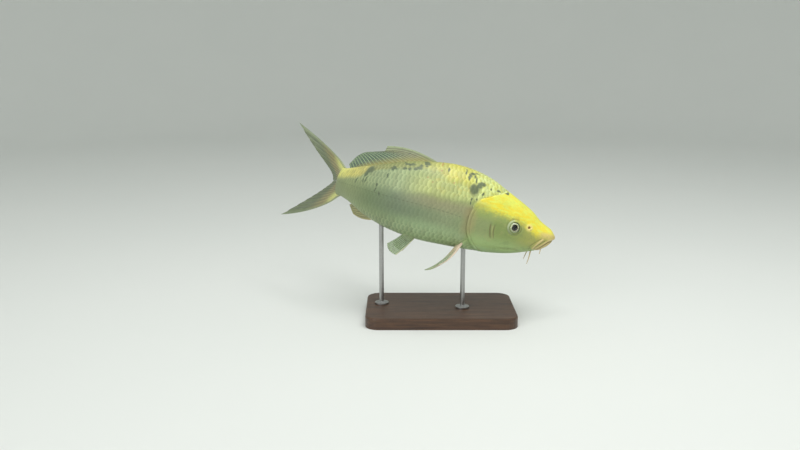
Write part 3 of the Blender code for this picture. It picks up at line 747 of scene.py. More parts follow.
def tail_place(u, v, hand):
    """hand is 1 for the upper lobe and -1 for the lower, which trails further to the left."""
    angle = between(*TAIL_FAN[hand], u)
    reach = between(*TAIL_RAYS, u ** TAIL_FORK_POWER) * v
    trail = LOWER_LOBE_TRAIL if hand < 0 else 0.0
    side = trail * ((reach - TAIL_RAYS[0] * v) / TAIL_RAYS[1]) ** 2
    station = between(*TAIL_ROOT, u ** 3) + reach * np.cos(angle)
    bow = TAIL_BOW * u ** 2 * arch(v) * (1 - TAIL_BOW_RECOIL * v ** 2)
    return station, side, hand * (between(*TAIL_BASE_HEIGHT, u) + reach * np.sin(angle) - bow)


def anal_place(u, v):
    root = between(*ANAL_BASE, u)
    low = np.stack([root, 0.0 * u, along(BELLY, root) + FIN_ROOT_DEPTH])
    tips = between(*np.array(ANAL_TIPS)[:, :, None], u)
    station, side, height = between(low, tips, v)
    return station, side, height - ANAL_BOW * (1 - u) * arch(v)


def paired_place(roots, tips, bulge, sag, hand, u, v):
    """A pectoral or pelvic fin between the (station, side, height) ends of its root and of its margin."""
    root, tip = (between(*np.array(ends)[:, :, None], u) for ends in (roots, tips))
    tip = tip + units((tip - root).T).T * bulge * np.sin(math.pi * u)
    station, side, height = between(root, tip, v) + np.array(sag)[:, None] * arch(v)
    return station, side * hand, height


def make_fins(looks):
    make_fin("dorsal_rays", dorsal_place, 21, 30, looks["dorsal fin"], "dorsal_fin", leading=0.02)
    for hand, lobe in ((1, "upper"), (-1, "lower")):
        def tail(u, v, hand=hand):
            return tail_place(1 - u, v, hand)

        make_fin(f"tail_rays_{lobe}", tail, 10, 44, looks["tail fin"], f"tail_fin_{lobe}", sway=0.5)
    make_fin("anal_rays", anal_place, 6, 24, looks["anal fin"], "anal_fin", leading=0.1)
    for hand, side in ((1, "left"), (-1, "right")):
        def pectoral(u, v, hand=hand, side=side):
            return paired_place(PECTORAL_ROOTS, PECTORAL_TIPS[side], PECTORAL_BULGE, PECTORAL_SAG, hand, u, v)

        def pelvic(u, v, hand=hand):
            return paired_place(PELVIC_ROOTS, PELVIC_TIPS, PELVIC_BULGE, PELVIC_SAG, hand, u, v)

        make_fin(f"pectoral_rays_{side}", pectoral, 14, 30, looks["pectoral fins"], f"pectoral_fin_{side}",
                 sway=0.4, leading=0.06)
        make_fin(f"pelvic_rays_{side}", pelvic, 8, 24, looks["paired fins"], f"pelvic_fin_{side}", sway=0.3)


# --- Eyes and barbels ---

def eye_frame(hand):
    """Matrix from the eye's own place, with Z out of the head, to the finished model."""
    step = 0.004
    station, height = EYE
    place = Vector(posed(station, hand * side_at(station, height), height))
    ahead = Vector(posed(station - step, hand * side_at(station - step, height), height)) - place
    above = Vector(posed(station, hand * side_at(station, height + step), height + step)) - place
    outward = (ahead.cross(above) * -hand).normalized()
    centre = place - outward * (EYE_DEPTH - EYE_STANDS_OUT)
    return Matrix.Translation(centre) @ outward.to_track_quat("Z", "Y").to_matrix().to_4x4()


def eye_way(along_it, up_it):
    """Direction in the finished model of a short way across the eye, on the straight fish."""
    station, height = EYE
    far, near = (posed(station + by * along_it, 0.0, height + by * up_it) for by in (1, -1))
    return units(far - near)


FORWARD = eye_way(-0.01, 0.0)
UPWARD = eye_way(0.0, 0.01)


def write_in_eye(mesh, places, placed):
    """Writes points given in the eye's own frame."""
    write_points(mesh, places @ placed[:3, :3].T + placed[:3, 3])
    face_outward(mesh)


def make_eye(hand, side, globe_look, cornea_look):
    """A globe with a sunk iris and pupil, under a clear cornea."""
    placed = np.array(eye_frame(hand))
    mesh = sphere_mesh(f"eye_globe_{side}", 64, 48)[0]
    own = read_points(mesh)
    ahead = units(placed[0, :2]) * PUPIL_AHEAD
    away = np.hypot(own[:, 0] - ahead[0], own[:, 1] - ahead[1])
    front = own[:, 2] > 0
    dish = IRIS_DISH * smooth_step(IRIS_SHARE, PUPIL_SHARE, away)
    pit = PUPIL_PIT * smooth_step(PUPIL_SHARE + 0.02, PUPIL_SHARE - 0.05, away)
    bowl = IRIS_LEVEL - dish - pit
    depth = np.where(front, np.minimum(own[:, 2] * 0.93, bowl), own[:, 2])
    shaped = np.stack([own[:, 0] * EYE_RADIUS * 0.98, own[:, 1] * EYE_RADIUS * 0.98, depth * EYE_DEPTH], 1)
    write_in_eye(mesh, shaped, placed)
    add_attribute(mesh, "iris", own - np.array((*ahead, 0.0)))
    add_piece(f"eye_globe_{side}", mesh, globe_look, (f"eye_{side}",))

    mesh, template = plate_mesh(f"cornea_{side}", 28, 28)
    x, y = template[:, 0] * 2 - 1, template[:, 1] * 2 - 1
    x, y = x * np.sqrt(1 - y * y / 2), y * np.sqrt(1 - x * x / 2)
    dome = np.sqrt(np.maximum(0.0, 1.0 - 0.94 * (x * x + y * y)))
    inside = (1.0 - template[:, 2]) * CORNEA_THICKNESS
    radius, deep = EYE_RADIUS - inside, EYE_DEPTH - inside
    shaped = np.stack([x * radius * 0.97, y * radius * 0.97, dome * deep], 1)
    write_in_eye(mesh, shaped, placed)
    add_piece(f"cornea_{side}", mesh, cornea_look, (f"eye_{side}",))


def make_eye_rim(hand, side, material):
    """A soft rim of skin that closes on the globe."""
    shape = bmesh.new()
    upright = Matrix.Translation((1.0, 0.0, 0.0)) @ Matrix.Rotation(math.pi / 2, 4, "X")
    bmesh.ops.create_circle(shape, segments=16, radius=0.25, matrix=upright)
    mesh = turned_mesh(f"eye_rim_{side}", shape)
    own = read_points(mesh)
    far = np.hypot(own[:, 0], own[:, 1])
    round_it = np.arctan2(own[:, 1], own[:, 0])
    placed = np.array(eye_frame(hand))

    # Where the rim's circle lies on the straight fish, and how far the skin there is out of the eye's frame.
    reach = EYE_RIM_RADIUS + (far - 1.0) * 4 * EYE_RIM_THICKNESS
    spot = np.stack([np.cos(round_it) * reach, np.sin(round_it) * reach, 0.0 * reach], 1)
    turned = spot @ placed[:3, :3].T
    station = EYE[0] - turned @ FORWARD / STANDARD_LENGTH
    height = EYE[1] + turned @ UPWARD / STANDARD_LENGTH
    straight_side = hand * side_at(station, height)
    ground = (posed(station, straight_side, height) - placed[:3, 3]) @ placed[:3, 2]
    up = ground + own[:, 2] * 4 * EYE_RIM_THICKNESS + 0.05 * MM
    shaped = np.stack([spot[:, 0], spot[:, 1], up], 1)
    write_in_eye(mesh, shaped, placed)
    add_attribute(mesh, "straight", np.stack([station, straight_side, height], 1))
    add_attribute(mesh, "hollow", 0.0 * far)
    add_attribute(mesh, "lips", 0.0 * far)
    add_piece(f"eye_rim_{side}", mesh, material, ("head",))


def make_barbel(name, barbel, hand, material):
    """A tapering feeler that hangs from the lip."""
    station, height = barbel["root"]
    side = float(side_at(station, height))
    root = Vector(posed(station, hand * (side - BARBEL_ROOT_DEPTH), height))
    out, back, drop = hand * (side + barbel["out"]), barbel["back"], barbel["drop"]
    middle = Vector(posed(station + back / 3, out, height - drop / 2))
    tip = Vector(posed(station + back, out, height - drop))
    path = interpolate_bezier(root, root.lerp(middle, 0.6), middle.lerp(tip, 0.2), tip, BARBEL_POINTS)
    path = np.array(path)
    mesh, share, longitude = sphere_mesh(name, 16, 60)
    shares = np.linspace(0, 1, BARBEL_POINTS)
    centre, ahead = (np.stack([np.interp(share, shares, axis) for axis in points.T], 1)
                     for points in (path, np.gradient(path, axis=0)))
    ahead = units(ahead)
    first = units(np.cross(ahead, (1.0, 0.0, 0.0)))
    second = np.cross(ahead, first)
    past = np.maximum(0.0, share - 1.0 + BARBEL_ROUND_END) / BARBEL_ROUND_END
    closing = np.sqrt(np.clip(1.0 - past ** 2, 0.0, 1.0)) * np.minimum(1.0, share * 12)
    radius = (barbel["radius"] + (BARBEL_TIP_RADIUS - barbel["radius"]) * share) * closing
    ring = first * np.cos(longitude)[:, None] + second * np.sin(longitude)[:, None]
    write_points(mesh, centre + ring * radius[:, None])
    face_outward(mesh)
    add_piece(name.replace("barbel", "feeler"), mesh, material, (name,))


def make_barbels(material):
    for hand, side in ((1, "left"), (-1, "right")):
        make_barbel(f"barbel_corner_{side}", CORNER_BARBEL, hand, material)
        make_barbel(f"barbel_lip_{side}", LIP_BARBEL, hand, material)


# --- Shader helpers ---

def srgb(red, green, blue):
    """A colour given in the usual 0 to 255, made linear."""
    shares = [value / 255.0 for value in (red, green, blue)]
    return tuple(v / 12.92 if v <= 0.04045 else ((v + 0.055) / 1.055) ** 2.4 for v in shares) + (1.0,)


class Value:
    """A socket's value. Arithmetic on it adds the nodes that work it out."""

    def __init__(self, socket):
        self.socket = socket
        self.tree = socket.id_data

    def __add__(self, other):
        return calc("ADD", self, other)

    def __sub__(self, other):
        return calc("SUBTRACT", self, other)

    def __rsub__(self, other):
        return calc("SUBTRACT", other, self)

    def __mul__(self, other):
        return calc("MULTIPLY", self, other)

    def __truediv__(self, other):
        return calc("DIVIDE", self, other)

    def __abs__(self):
        return calc("ABSOLUTE", self)


def set_inputs(node, values):
    """Feeds a node's inputs, given by name or number, with values or constants."""
    for label, value in values.items():
        if isinstance(value, Value):
            value.tree.links.new(value.socket, node.inputs[label])
        else:
            node.inputs[label].default_value = value


def add_node(kind, values, **settings):
    """A node in the tree that its values come from, with its settings made and its inputs fed."""
    tree = next(value.tree for value in values.values() if isinstance(value, Value))
    made = tree.nodes.new("ShaderNode" + kind)
    for name, setting in settings.items():
        setattr(made, name, setting)
    set_inputs(made, values)
    return made


def calc(operation, *values):
    return Value(add_node("Math", dict(enumerate(values)), operation=operation).outputs[0])


def fade(value, low, high):
    """0 at low to 1 at high, smoothly. low may be the larger."""
    start, end = (1.0, 0.0) if low > high else (0.0, 1.0)
    limits = {"From Min": min(low, high), "From Max": max(low, high), "To Min": start, "To Max": end}
    made = add_node("MapRange", {"Value": value, **limits}, interpolation_type="SMOOTHSTEP")
    return Value(made.outputs["Result"])


def blend(share, first, second):
    """A colour between two others. The Mix node's colour sockets are 6, 7 and 2."""
    return Value(add_node("Mix", {0: share, 6: first, 7: second}, data_type="RGBA").outputs[2])


def noise(place, scale, detail=3.0, roughness=0.55, output="Fac"):
    values = {"Vector": place, "Scale": scale, "Detail": detail, "Roughness": roughness}
    return Value(add_node("TexNoise", values).outputs[output])


def curve(value, points, low, high):
    """A smooth function of a value in 0 to 1, through (value, result) points with results in low to high."""
    made = add_node("FloatCurve", {"Value": value})
    line = made.mapping.curves[0]
    spots = [(x, (y - low) / (high - low)) for x, y in points]
    line.points[0].location, line.points[-1].location = spots[0], spots[-1]
    for spot in spots[1:-1]:
        line.points.new(*spot)
    made.mapping.update()
    return Value(made.outputs[0]) * (high - low) + low


def ramp(value, stops):
    """Colours blended along (value, colour) stops."""
    made = add_node("ValToRGB", {"Fac": value})
    elements = made.color_ramp.elements
    for place, colour in stops[1:-1]:
        elements.new(place).color = colour
    elements[0].position, elements[0].color = stops[0]
    elements[-1].position, elements[-1].color = stops[-1]
    return Value(made.outputs["Color"])


def parts(vector):
    """The three numbers of a vector."""
    return [Value(socket) for socket in add_node("SeparateXYZ", {0: vector}).outputs]


def stretched(place, scale):
    return Value(add_node("Mapping", {"Vector": place, "Scale": scale}).outputs[0])


def bump(height, strength, distance):
    values = {"Strength": strength, "Distance": distance, "Height": height}
    return Value(add_node("Bump", values).outputs["Normal"])


def attribute(tree, name, output="Fac"):
    made = tree.nodes.new("ShaderNodeAttribute")
    made.attribute_name = name
    return Value(made.outputs[output])


def straight_place(tree):
    """The place on the straight fish, which skin and scales carry."""
    return attribute(tree, "straight", "Vector")


def object_place(tree):
    return Value(tree.nodes.new("ShaderNodeTexCoord").outputs["Object"])


def new_group(name, inputs, outputs):
    """(group, its inputs by name, its output sockets by name)."""
    group = bpy.data.node_groups.new(name, "ShaderNodeTree")
    for label, kind in inputs.items():
        group.interface.new_socket(label, in_out="INPUT", socket_type=kind)
    for label, kind in outputs.items():
        group.interface.new_socket(label, in_out="OUTPUT", socket_type=kind)
    entry = group.nodes.new("NodeGroupInput")
    return group, {label: Value(entry.outputs[label]) for label in inputs}, group.nodes.new("NodeGroupOutput")


def use_group(group, **values):
    """The group's outputs by name."""
    return {socket.name: Value(socket) for socket in add_node("Group", values, node_tree=group).outputs}


def new_material(name):
    """(material, tree, Principled BSDF)."""
    made = bpy.data.materials.new(name)
    made.use_nodes = True
    return made, made.node_tree, made.node_tree.nodes["Principled BSDF"]


# --- Markings, shared by the skin and the scales ---

CAP_YELLOW = srgb(230, 212, 58)
CAP_PALE = srgb(222, 226, 94)
SNOUT = srgb(216, 194, 118)
CHEEK = srgb(131, 148, 82)
GILL_PLATE = srgb(137, 150, 98)
CHEEK_FRONT = srgb(164, 163, 84)
UNDER_EYE = srgb(158, 183, 118)
THROAT = srgb(166, 194, 144)
BLUSH = srgb(168, 148, 100)
LIP = srgb(206, 184, 130)
# Painted shade in the folds and hollows of the face.
FOLD_SHADE = srgb(116, 110, 68)
NAPE = srgb(216, 228, 148)
BLOTCH = srgb(84, 97, 74)
ROSE = srgb(164, 152, 118)
SPECK = srgb(168, 104, 62)
NOSTRIL_RIM = srgb(234, 216, 138)
# Painted shade inside the nostril's opening.
NOSTRIL_HOLE_SHADE = srgb(142, 106, 58)
BAND_LIGHT = srgb(222, 228, 150)
GOLD = srgb(214, 186, 76)
CHEEK_HIGH = srgb(146, 161, 92)
CHEEK_LIGHT = srgb(162, 160, 104)
CHEEK_DARK = srgb(108, 124, 76)
GRAIN = srgb(92, 100, 66)
PATCH = srgb(96, 106, 78)
EYE_RING = srgb(176, 188, 152)
# Painted shade in the groove below the eye.
EYE_GROOVE_SHADE = srgb(92, 102, 62)
# Painted shadow on the rim of skin against the globe.
LID_SHADOW = srgb(66, 74, 50)

# Lower edge of the yellow cap: (station, height).
CAP_EDGE = ((0.0, 0.000), (0.025, 0.000), (0.045, 0.000), (0.070, -0.001), (0.104, 0.006), (0.122, 0.015),
            (0.142, 0.028), (0.162, 0.037), (0.188, 0.042), (0.214, 0.042), (0.254, 0.048), (0.290, 0.050),
            (0.330, 0.050), (1.0, 0.050))
# The cap ends a little ahead of the gill line, and laps further back at the shoulder. The line is followed
# between two angles round the body, in radians, and between two heights.
CAP_AHEAD = 0.006
CAP_LAP = 0.016
SHOULDER_ANGLE, SHOULDER_WIDTH = 0.70, 0.30
CAP_ANGLES = (0.36, 1.44)
CAP_HEIGHTS = (0.05, 0.15)
# Stretch of the cap's streaks, and the station where the cheek's colour ends.
ALONG_HEAD_STRETCH = (0.35, 1.6, 1.6)
CHEEK_END = 0.362
# Lower edge of the pale band along the back, and the back's own line: (station, height).
BAND_EDGE = ((0.0, 0.060), (0.36, 0.062), (0.43, 0.058), (0.484, 0.054), (0.55, 0.047), (0.62, 0.036),
             (0.69, 0.024), (0.78, 0.012), (0.90, 0.012), (1.0, 0.012))
BACK_TOP = ((0.0, 0.018), (0.22, 0.125), (0.43, 0.180), (0.54, 0.168), (0.64, 0.145), (0.74, 0.112),
            (0.86, 0.078), (1.0, 0.060))
BAND_TONES = ((0.34, srgb(182, 192, 112)), (0.42, srgb(166, 180, 112)), (0.50, srgb(164, 173, 100)),
              (0.57, srgb(152, 166, 108)), (0.64, srgb(154, 170, 126)), (0.72, srgb(140, 156, 118)),
              (0.84, srgb(150, 163, 116)), (1.0, srgb(142, 155, 110)))
TOP_TONES = ((0.34, srgb(204, 204, 92)), (0.46, srgb(200, 197, 84)), (0.53, srgb(182, 183, 96)),
             (0.60, srgb(142, 149, 91)), (0.72, srgb(131, 136, 84)), (0.77, srgb(138, 140, 88)),
             (0.80, srgb(188, 180, 104)), (0.86, srgb(202, 194, 106)), (0.96, srgb(228, 226, 124)))
FLANK_TONES = ((0.36, srgb(136, 152, 108)), (0.45, srgb(138, 151, 114)), (0.54, srgb(118, 134, 102)),
               (0.62, srgb(108, 124, 98)), (0.73, srgb(114, 131, 95)), (0.84, srgb(140, 152, 110)),
               (1.0, srgb(140, 152, 108)))
BELLY_TONES = ((0.30, srgb(158, 178, 130)), (0.50, srgb(156, 180, 134)), (0.65, srgb(127, 146, 106)),
               (0.85, srgb(142, 158, 110)), (1.0, srgb(140, 154, 104)))

# Dark blotches on the right flank: (station, height, half length, half height).
RIGHT_BLOTCHES = (
    (0.369, 0.112, 0.019, 0.020), (0.354, 0.128, 0.012, 0.011), (0.342, 0.136, 0.011, 0.009),
    (0.398, 0.149, 0.005, 0.009), (0.394, 0.158, 0.007, 0.005), (0.386, 0.164, 0.010, 0.003),
    (0.370, 0.168, 0.010, 0.002), (0.376, 0.157, 0.004, 0.006), (0.370, 0.146, 0.003, 0.010),
    (0.332, 0.103, 0.004, 0.008), (0.372, 0.076, 0.004, 0.007), (0.372, 0.062, 0.003, 0.006),
    (0.354, 0.079, 0.003, 0.005), (0.274, 0.126, 0.008, 0.004), (0.238, 0.124, 0.008, 0.004),
    (0.306, 0.127, 0.004, 0.004), (0.414, 0.164, 0.004, 0.007), (0.476, 0.158, 0.004, 0.006),
    (0.560, 0.158, 0.015, 0.006), (0.558, 0.148, 0.006, 0.004), (0.580, 0.136, 0.010, 0.007),
    (0.590, 0.128, 0.007, 0.006), (0.578, 0.145, 0.006, 0.005), (0.626, 0.138, 0.021, 0.003),
    (0.610, 0.143, 0.007, 0.004), (0.630, 0.121, 0.007, 0.005), (0.614, 0.125, 0.006, 0.006),
    (0.672, 0.110, 0.013, 0.006), (0.676, 0.104, 0.006, 0.006), (0.684, 0.077, 0.004, 0.011),
    (0.768, 0.080, 0.017, 0.014), (0.778, 0.066, 0.008, 0.018), (0.766, 0.040, 0.003, 0.012),
    (0.780, 0.036, 0.004, 0.008), (0.814, 0.026, 0.004, 0.011), (0.712, 0.034, 0.004, 0.006),
    (0.712, 0.013, 0.003, 0.010), (0.692, 0.004, 0.004, 0.010), (0.984, 0.043, 0.006, 0.008))
# The left flank's own, of the same kinds.
LEFT_BLOTCHES = (
    (0.345, 0.122, 0.016, 0.011), (0.360, 0.134, 0.009, 0.010), (0.405, 0.150, 0.008, 0.010),
    (0.430, 0.162, 0.006, 0.005), (0.296, 0.118, 0.005, 0.005), (0.372, 0.082, 0.004, 0.009),
    (0.520, 0.160, 0.009, 0.005), (0.548, 0.144, 0.013, 0.007), (0.562, 0.135, 0.007, 0.006),
    (0.612, 0.138, 0.016, 0.004), (0.640, 0.124, 0.008, 0.007), (0.655, 0.132, 0.006, 0.005),
    (0.690, 0.100, 0.005, 0.010), (0.745, 0.094, 0.014, 0.008), (0.756, 0.080, 0.006, 0.010),
    (0.790, 0.052, 0.004, 0.013), (0.806, 0.040, 0.003, 0.009), (0.862, 0.045, 0.005, 0.008))
# Small brown specks on both flanks, (station, height, half length, half height).
SPECKS = ((0.504, 0.168, 0.003, 0.006), (0.500, 0.147, 0.004, 0.003), (0.518, 0.100, 0.003, 0.003),
          (0.447, 0.118, 0.003, 0.003), (0.541, 0.112, 0.003, 0.004))


def blotch_mask(station, height, blotches):
    """1 inside any of the blotches. Each is an oval about its centre."""
    nearest = 9.0
    for centre, level, half_length, half_height in blotches:
        along_it = (station - centre) / half_length
        up_it = (height - level) / half_height
        nearest = calc("MINIMUM", along_it * along_it + up_it * up_it, nearest)
    return fade(nearest, 1.75, 0.35)


def cap_rear(height):
    """Station where the cap ends, at a height."""
    low, high = CAP_HEIGHTS
    angles = np.linspace(*CAP_ANGLES, 9)
    stations = gill_line(angles) - CAP_AHEAD + CAP_LAP * ridge(angles - SHOULDER_ANGLE, SHOULDER_WIDTH)
    shares = (section(stations, angles)[1] - low) / (high - low)
    points = list(zip(shares.tolist(), stations.tolist()))
    points = ((0.0, points[0][1]), *points, (1.0, points[-1][1]))
    return curve((height - low) / (high - low), points, 0.2, 0.4)


def markings_group():
    """Colour, share of silver and share of dark pigment at a place on the straight fish."""
    group, inputs, last = new_group("carp markings", {"Place": "NodeSocketVector"}, {
        "Colour": "NodeSocketColor", "Silver": "NodeSocketFloat", "Dark": "NodeSocketFloat"})
    place = inputs["Place"]
    station, side, height = parts(place)

    # Places shifted a little here and there, so that no edge is ruled.
    shift = parts(noise(place, 46.0, 4.0, 0.62, "Color"))
    rough_station = (shift[0] - 0.5) * 0.018 + station
    rough_height = (shift[1] - 0.5) * 0.020 + height
    patchy = noise(place, 15.0, 4.0, 0.6)
    grain = noise(place, 190.0, 3.0, 0.6)

    # Flank and belly, with a faint rosy band between.
    colour = ramp(station, FLANK_TONES)
    rosy = fade(rough_height, -0.02, 0.03) * fade(rough_height, 0.075, 0.045) * fade(station, 0.66, 0.50)
    colour = blend(rosy * 0.5, colour, ROSE)
    colour = blend(fade(rough_height, -0.030, -0.085), colour, ramp(station, BELLY_TONES))

    # Pale band along the back, and a yellower top that turns tan under the dorsal fin.
    above = (patchy - 0.5) * 0.024 + (rough_height - curve(station, BAND_EDGE, 0.0, 0.2))
    colour = blend(fade(above, -0.030, 0.030), colour, ramp(station, BAND_TONES))
    pale = fade(above, -0.005, 0.015) * fade(above, 0.074, 0.048) * fade(station, 0.62, 0.54)
    colour = blend(pale * 0.38, colour, BAND_LIGHT)
    below_top = curve(station, BACK_TOP, 0.0, 0.2) - rough_height
    deep = calc("MAXIMUM", fade(station, 0.54, 0.46) * 0.045, fade(station, 0.775, 0.805) * 0.020 + 0.013)
    colour = blend(fade(below_top / (deep + 0.014), 1.25, 0.70), colour, ramp(station, TOP_TONES))
    golden = fade(noise(place, 75.0, 2.0), 0.50, 0.66) * fade(above, 0.0, 0.04) * fade(station, 0.60, 0.44)
    colour = blend(golden * 0.35, colour, GOLD)

    # Nape.
    streaks = fade(noise(place, 62.0, 3.0, 0.6), 0.62, 0.42) * 0.7 + 0.25
    nape = fade(station, 0.400, 0.345) * fade(height, 0.055, 0.085) * streaks
    colour = blend(nape, colour, NAPE)

    # Cheek and gill cover, paler below the eye and at the throat.
    cheek = blend(fade(rough_station, 0.250, 0.290), CHEEK, GILL_PLATE)
    cheek = blend(fade(height, 0.000, 0.036), cheek, CHEEK_HIGH)
    cheek = blend(fade(height, -0.026, -0.084), cheek, UNDER_EYE)
    cheek = blend(fade(height, -0.085, -0.115), cheek, THROAT)
    cheek = blend(fade(rough_station, 0.20, 0.07) * fade(rough_height, -0.075, -0.030), cheek, CHEEK_FRONT)
    mottled = noise(place, 42.0, 5.0, 0.7)
    cheek = blend(fade(mottled, 0.50, 0.68) * 0.34, cheek, CHEEK_LIGHT)
    cheek = blend(fade(mottled, 0.48, 0.32) * 0.30, cheek, CHEEK_DARK)
    in_cheek = fade(CHEEK_END - rough_station, -0.006, 0.010) * fade(height, 0.078, 0.060)
    colour = blend(in_cheek, colour, cheek)
    blush = fade(station, 0.325, 0.352) * fade(station, 0.400, 0.365)
    blush = blush * fade(height, -0.09, -0.04) * fade(height, 0.060, 0.030)
    colour = blend(blush * 0.4, colour, BLUSH)

    # The yellow cap, paler in streaks, and the tan snout.
    over = (patchy - 0.5) * 0.018 + (rough_height - curve(station, CAP_EDGE, 0.0, 0.2))
    over = (noise(place, 105.0, 3.0, 0.6) - 0.5) * 0.026 + over
    behind = (rough_station - station) * 0.5 + station - cap_rear(height)
    corner = fade(rough_station, 0.270, 0.330) * fade(over, 0.045, 0.010)
    cap = fade(over, -0.020, 0.018) * fade(behind, 0.013, -0.004) * (1.0 - corner * 0.6)
    streaked = noise(stretched(place, ALONG_HEAD_STRETCH), 60.0, 4.0, 0.65)
    crown = fade(over, 0.02, 0.06) * 0.07 + streaked
    yellow = blend(fade(crown, 0.40, 0.66), CAP_YELLOW, CAP_PALE)
    yellow = blend(fade(station, 0.090, 0.055) * fade(height, 0.022, 0.006), yellow, SNOUT)
    colour = blend(cap, colour, yellow)

    # Dark pigment, each flank with its own blotches, and specks of brown.
    is_left = calc("GREATER_THAN", side, 0.0)
    right = blotch_mask(rough_station, rough_height, RIGHT_BLOTCHES)
    left = blotch_mask(rough_station, rough_height, LEFT_BLOTCHES)
    dark = left * is_left + right * (1.0 - is_left)
    dark = dark * fade(abs(side), 0.001, 0.006)
    colour = blend(dark * 0.92, colour, BLOTCH)
    colour = blend(blotch_mask(rough_station, rough_height, SPECKS) * 0.65, colour, SPECK)

    # Fine mottling.
    colour = blend(fade(grain, 0.5, 0.8) * 0.20, colour, GRAIN)
    colour = blend(fade(patchy, 0.5, 0.25) * 0.10, colour, PATCH)
    flank = fade(height, -0.11, -0.05) * fade(above, 0.03, -0.02)
    set_inputs(last, {"Colour": colour, "Silver": flank * (1.0 - dark), "Dark": dark})
    return group


def distance_from(station, height, centre):
    """Distance of (station, height) from a centre."""
    off = station - centre[0]
    rise = height - centre[1]
    return calc("SQRT", off * off + rise * rise)


def face_colour(tree, colour, place):
    """Adds the lips, the nostrils' pale rims, the ring of skin round the eye, and painted light: shade in the
    folds, in the nostrils' openings, in the groove below the eye and on the rim against the globe, and a
    highlight along the cheek's ridge.
    """
    station, _, height = parts(place)
    # The lips' own paler colour, and the painted highlight along the cheek's ridge.
    colour = blend(fade(attribute(tree, "lips"), 0.15, 0.85) * 0.75, colour, LIP)
    from_nostril = distance_from(station, height, NOSTRIL)
    colour = blend(fade(from_nostril, 0.018, 0.009) * 0.62, colour, NOSTRIL_RIM)

    # A pale ring behind the eye, and painted shade in the groove below it.
    away = distance_from(station, height, EYE)
    outside = fade(away, 0.031, 0.027)
    behind = fade(station - EYE[0], -0.004, 0.022)
    colour = blend(fade(away, 0.020, 0.024) * outside * (behind * 0.75), colour, EYE_RING)
    low = fade(height - EYE[1], 0.004, -0.016)
    colour = blend(fade(away, 0.0215, 0.0250) * outside * (low * 0.45), colour, EYE_GROOVE_SHADE)

    # Painted shade in the folds, grooves, socket and openings, as deep as they are sunk.
    colour = blend(fade(attribute(tree, "hollow"), 0.10, 0.75) * 0.70, colour, FOLD_SHADE)
    # Painted shade inside the nostril's opening.
    colour = blend(fade(from_nostril, 0.0062, 0.0035), colour, NOSTRIL_HOLE_SHADE)

    # Painted shadow on the rim against the globe, darkest above and ahead.
    rise = (height - EYE[1]) * 0.8 + (EYE[0] - station)
    return blend(fade(away, 0.0225, 0.0195) * (fade(rise, -0.012, 0.012) * 0.7 + 0.3), colour, LID_SHADOW)


def skin_material(markings):
    """Smooth wet skin with fine pores."""
    made, tree, shader = new_material("carp skin")
    place = straight_place(tree)
    marks = use_group(markings, Place=place)
    pores = noise(place, 420.0, 2.0)
    rough = pores * 0.25 + noise(place, 60.0, 4.0)
    set_inputs(shader, {
        "Base Color": face_colour(tree, marks["Colour"], place), "Roughness": pores * 0.16 + 0.40,
        "Normal": bump(rough, 0.35, 0.35 * MM), "Coat Weight": 0.14, "Coat Roughness": 0.25})
    return made


# --- Scales' look ---

# Painted shade of the scales: darker in the pocket at the root, and along the very edge.
POCKET_SHADE = srgb(88, 96, 60)
FREE_EDGE = srgb(236, 238, 180)
MARGIN_SHADE = srgb(104, 108, 74)
DULL = srgb(110, 116, 84)
PORE = srgb(70, 76, 54)


def scale_material(markings):
    """Scales: the fish's markings, a pale free edge, painted shade at the root where the scale ahead laps
    over it and along the very edge, and fine rays.
    """
    made, tree, shader = new_material("carp scales")
    marks = use_group(markings, Place=straight_place(tree))
    plate = tree.nodes.new("ShaderNodeUVMap")
    plate.uv_map = "plate"
    back, across = parts(Value(plate.outputs["UV"]))[:2]
    tone = attribute(tree, "tone")

    # Less of all this on the shining flank, and less again on dark pigment.
    strength = (fade(marks["Silver"], 0.9, 0.1) * 0.75 + 0.25) * (1.0 - marks["Dark"] * 0.8)
    # Painted shade in the pocket at the root, where the scale ahead laps over it.
    colour = blend(fade(back, 0.74, 0.42) * strength * 0.23, marks["Colour"], POCKET_SHADE)
    edge = fade(back, 0.60, 0.80) * fade(back, 1.0, 0.92) * strength
    colour = blend(edge * 0.12, colour, FREE_EDGE)
    # Painted shade: a thin dark line along the very edge, where the scale steps down onto the next.
    colour = blend(fade(back, 0.95, 1.0) * (strength * 0.35), colour, MARGIN_SHADE)
    colour = blend(fade(tone, 0.25, 1.0) * strength * 0.26, colour, DULL)

    # Pores of the lateral line, on the middle row alone.
    pore = fade(abs(across - 0.5), 0.045, 0.02) * attribute(tree, "middle_row")
    pore = pore * (fade(back, 0.52, 0.60) * fade(back, 0.86, 0.80))
    colour = blend(pore * 0.30, colour, PORE)
    rays = calc("SINE", across * 95.0)
    growth = calc("SINE", back * 70.0)
    height = pore * -4.0 + (growth * 0.4 + rays)
    set_inputs(shader, {
        "Base Color": colour, "Metallic": marks["Silver"] * 0.15, "Roughness": tone * 0.10 + 0.40,
        "Normal": bump(height, 0.25, 0.05 * MM), "Coat Weight": 0.12, "Coat Roughness": 0.25})
    return made


# --- Fins' looks ---

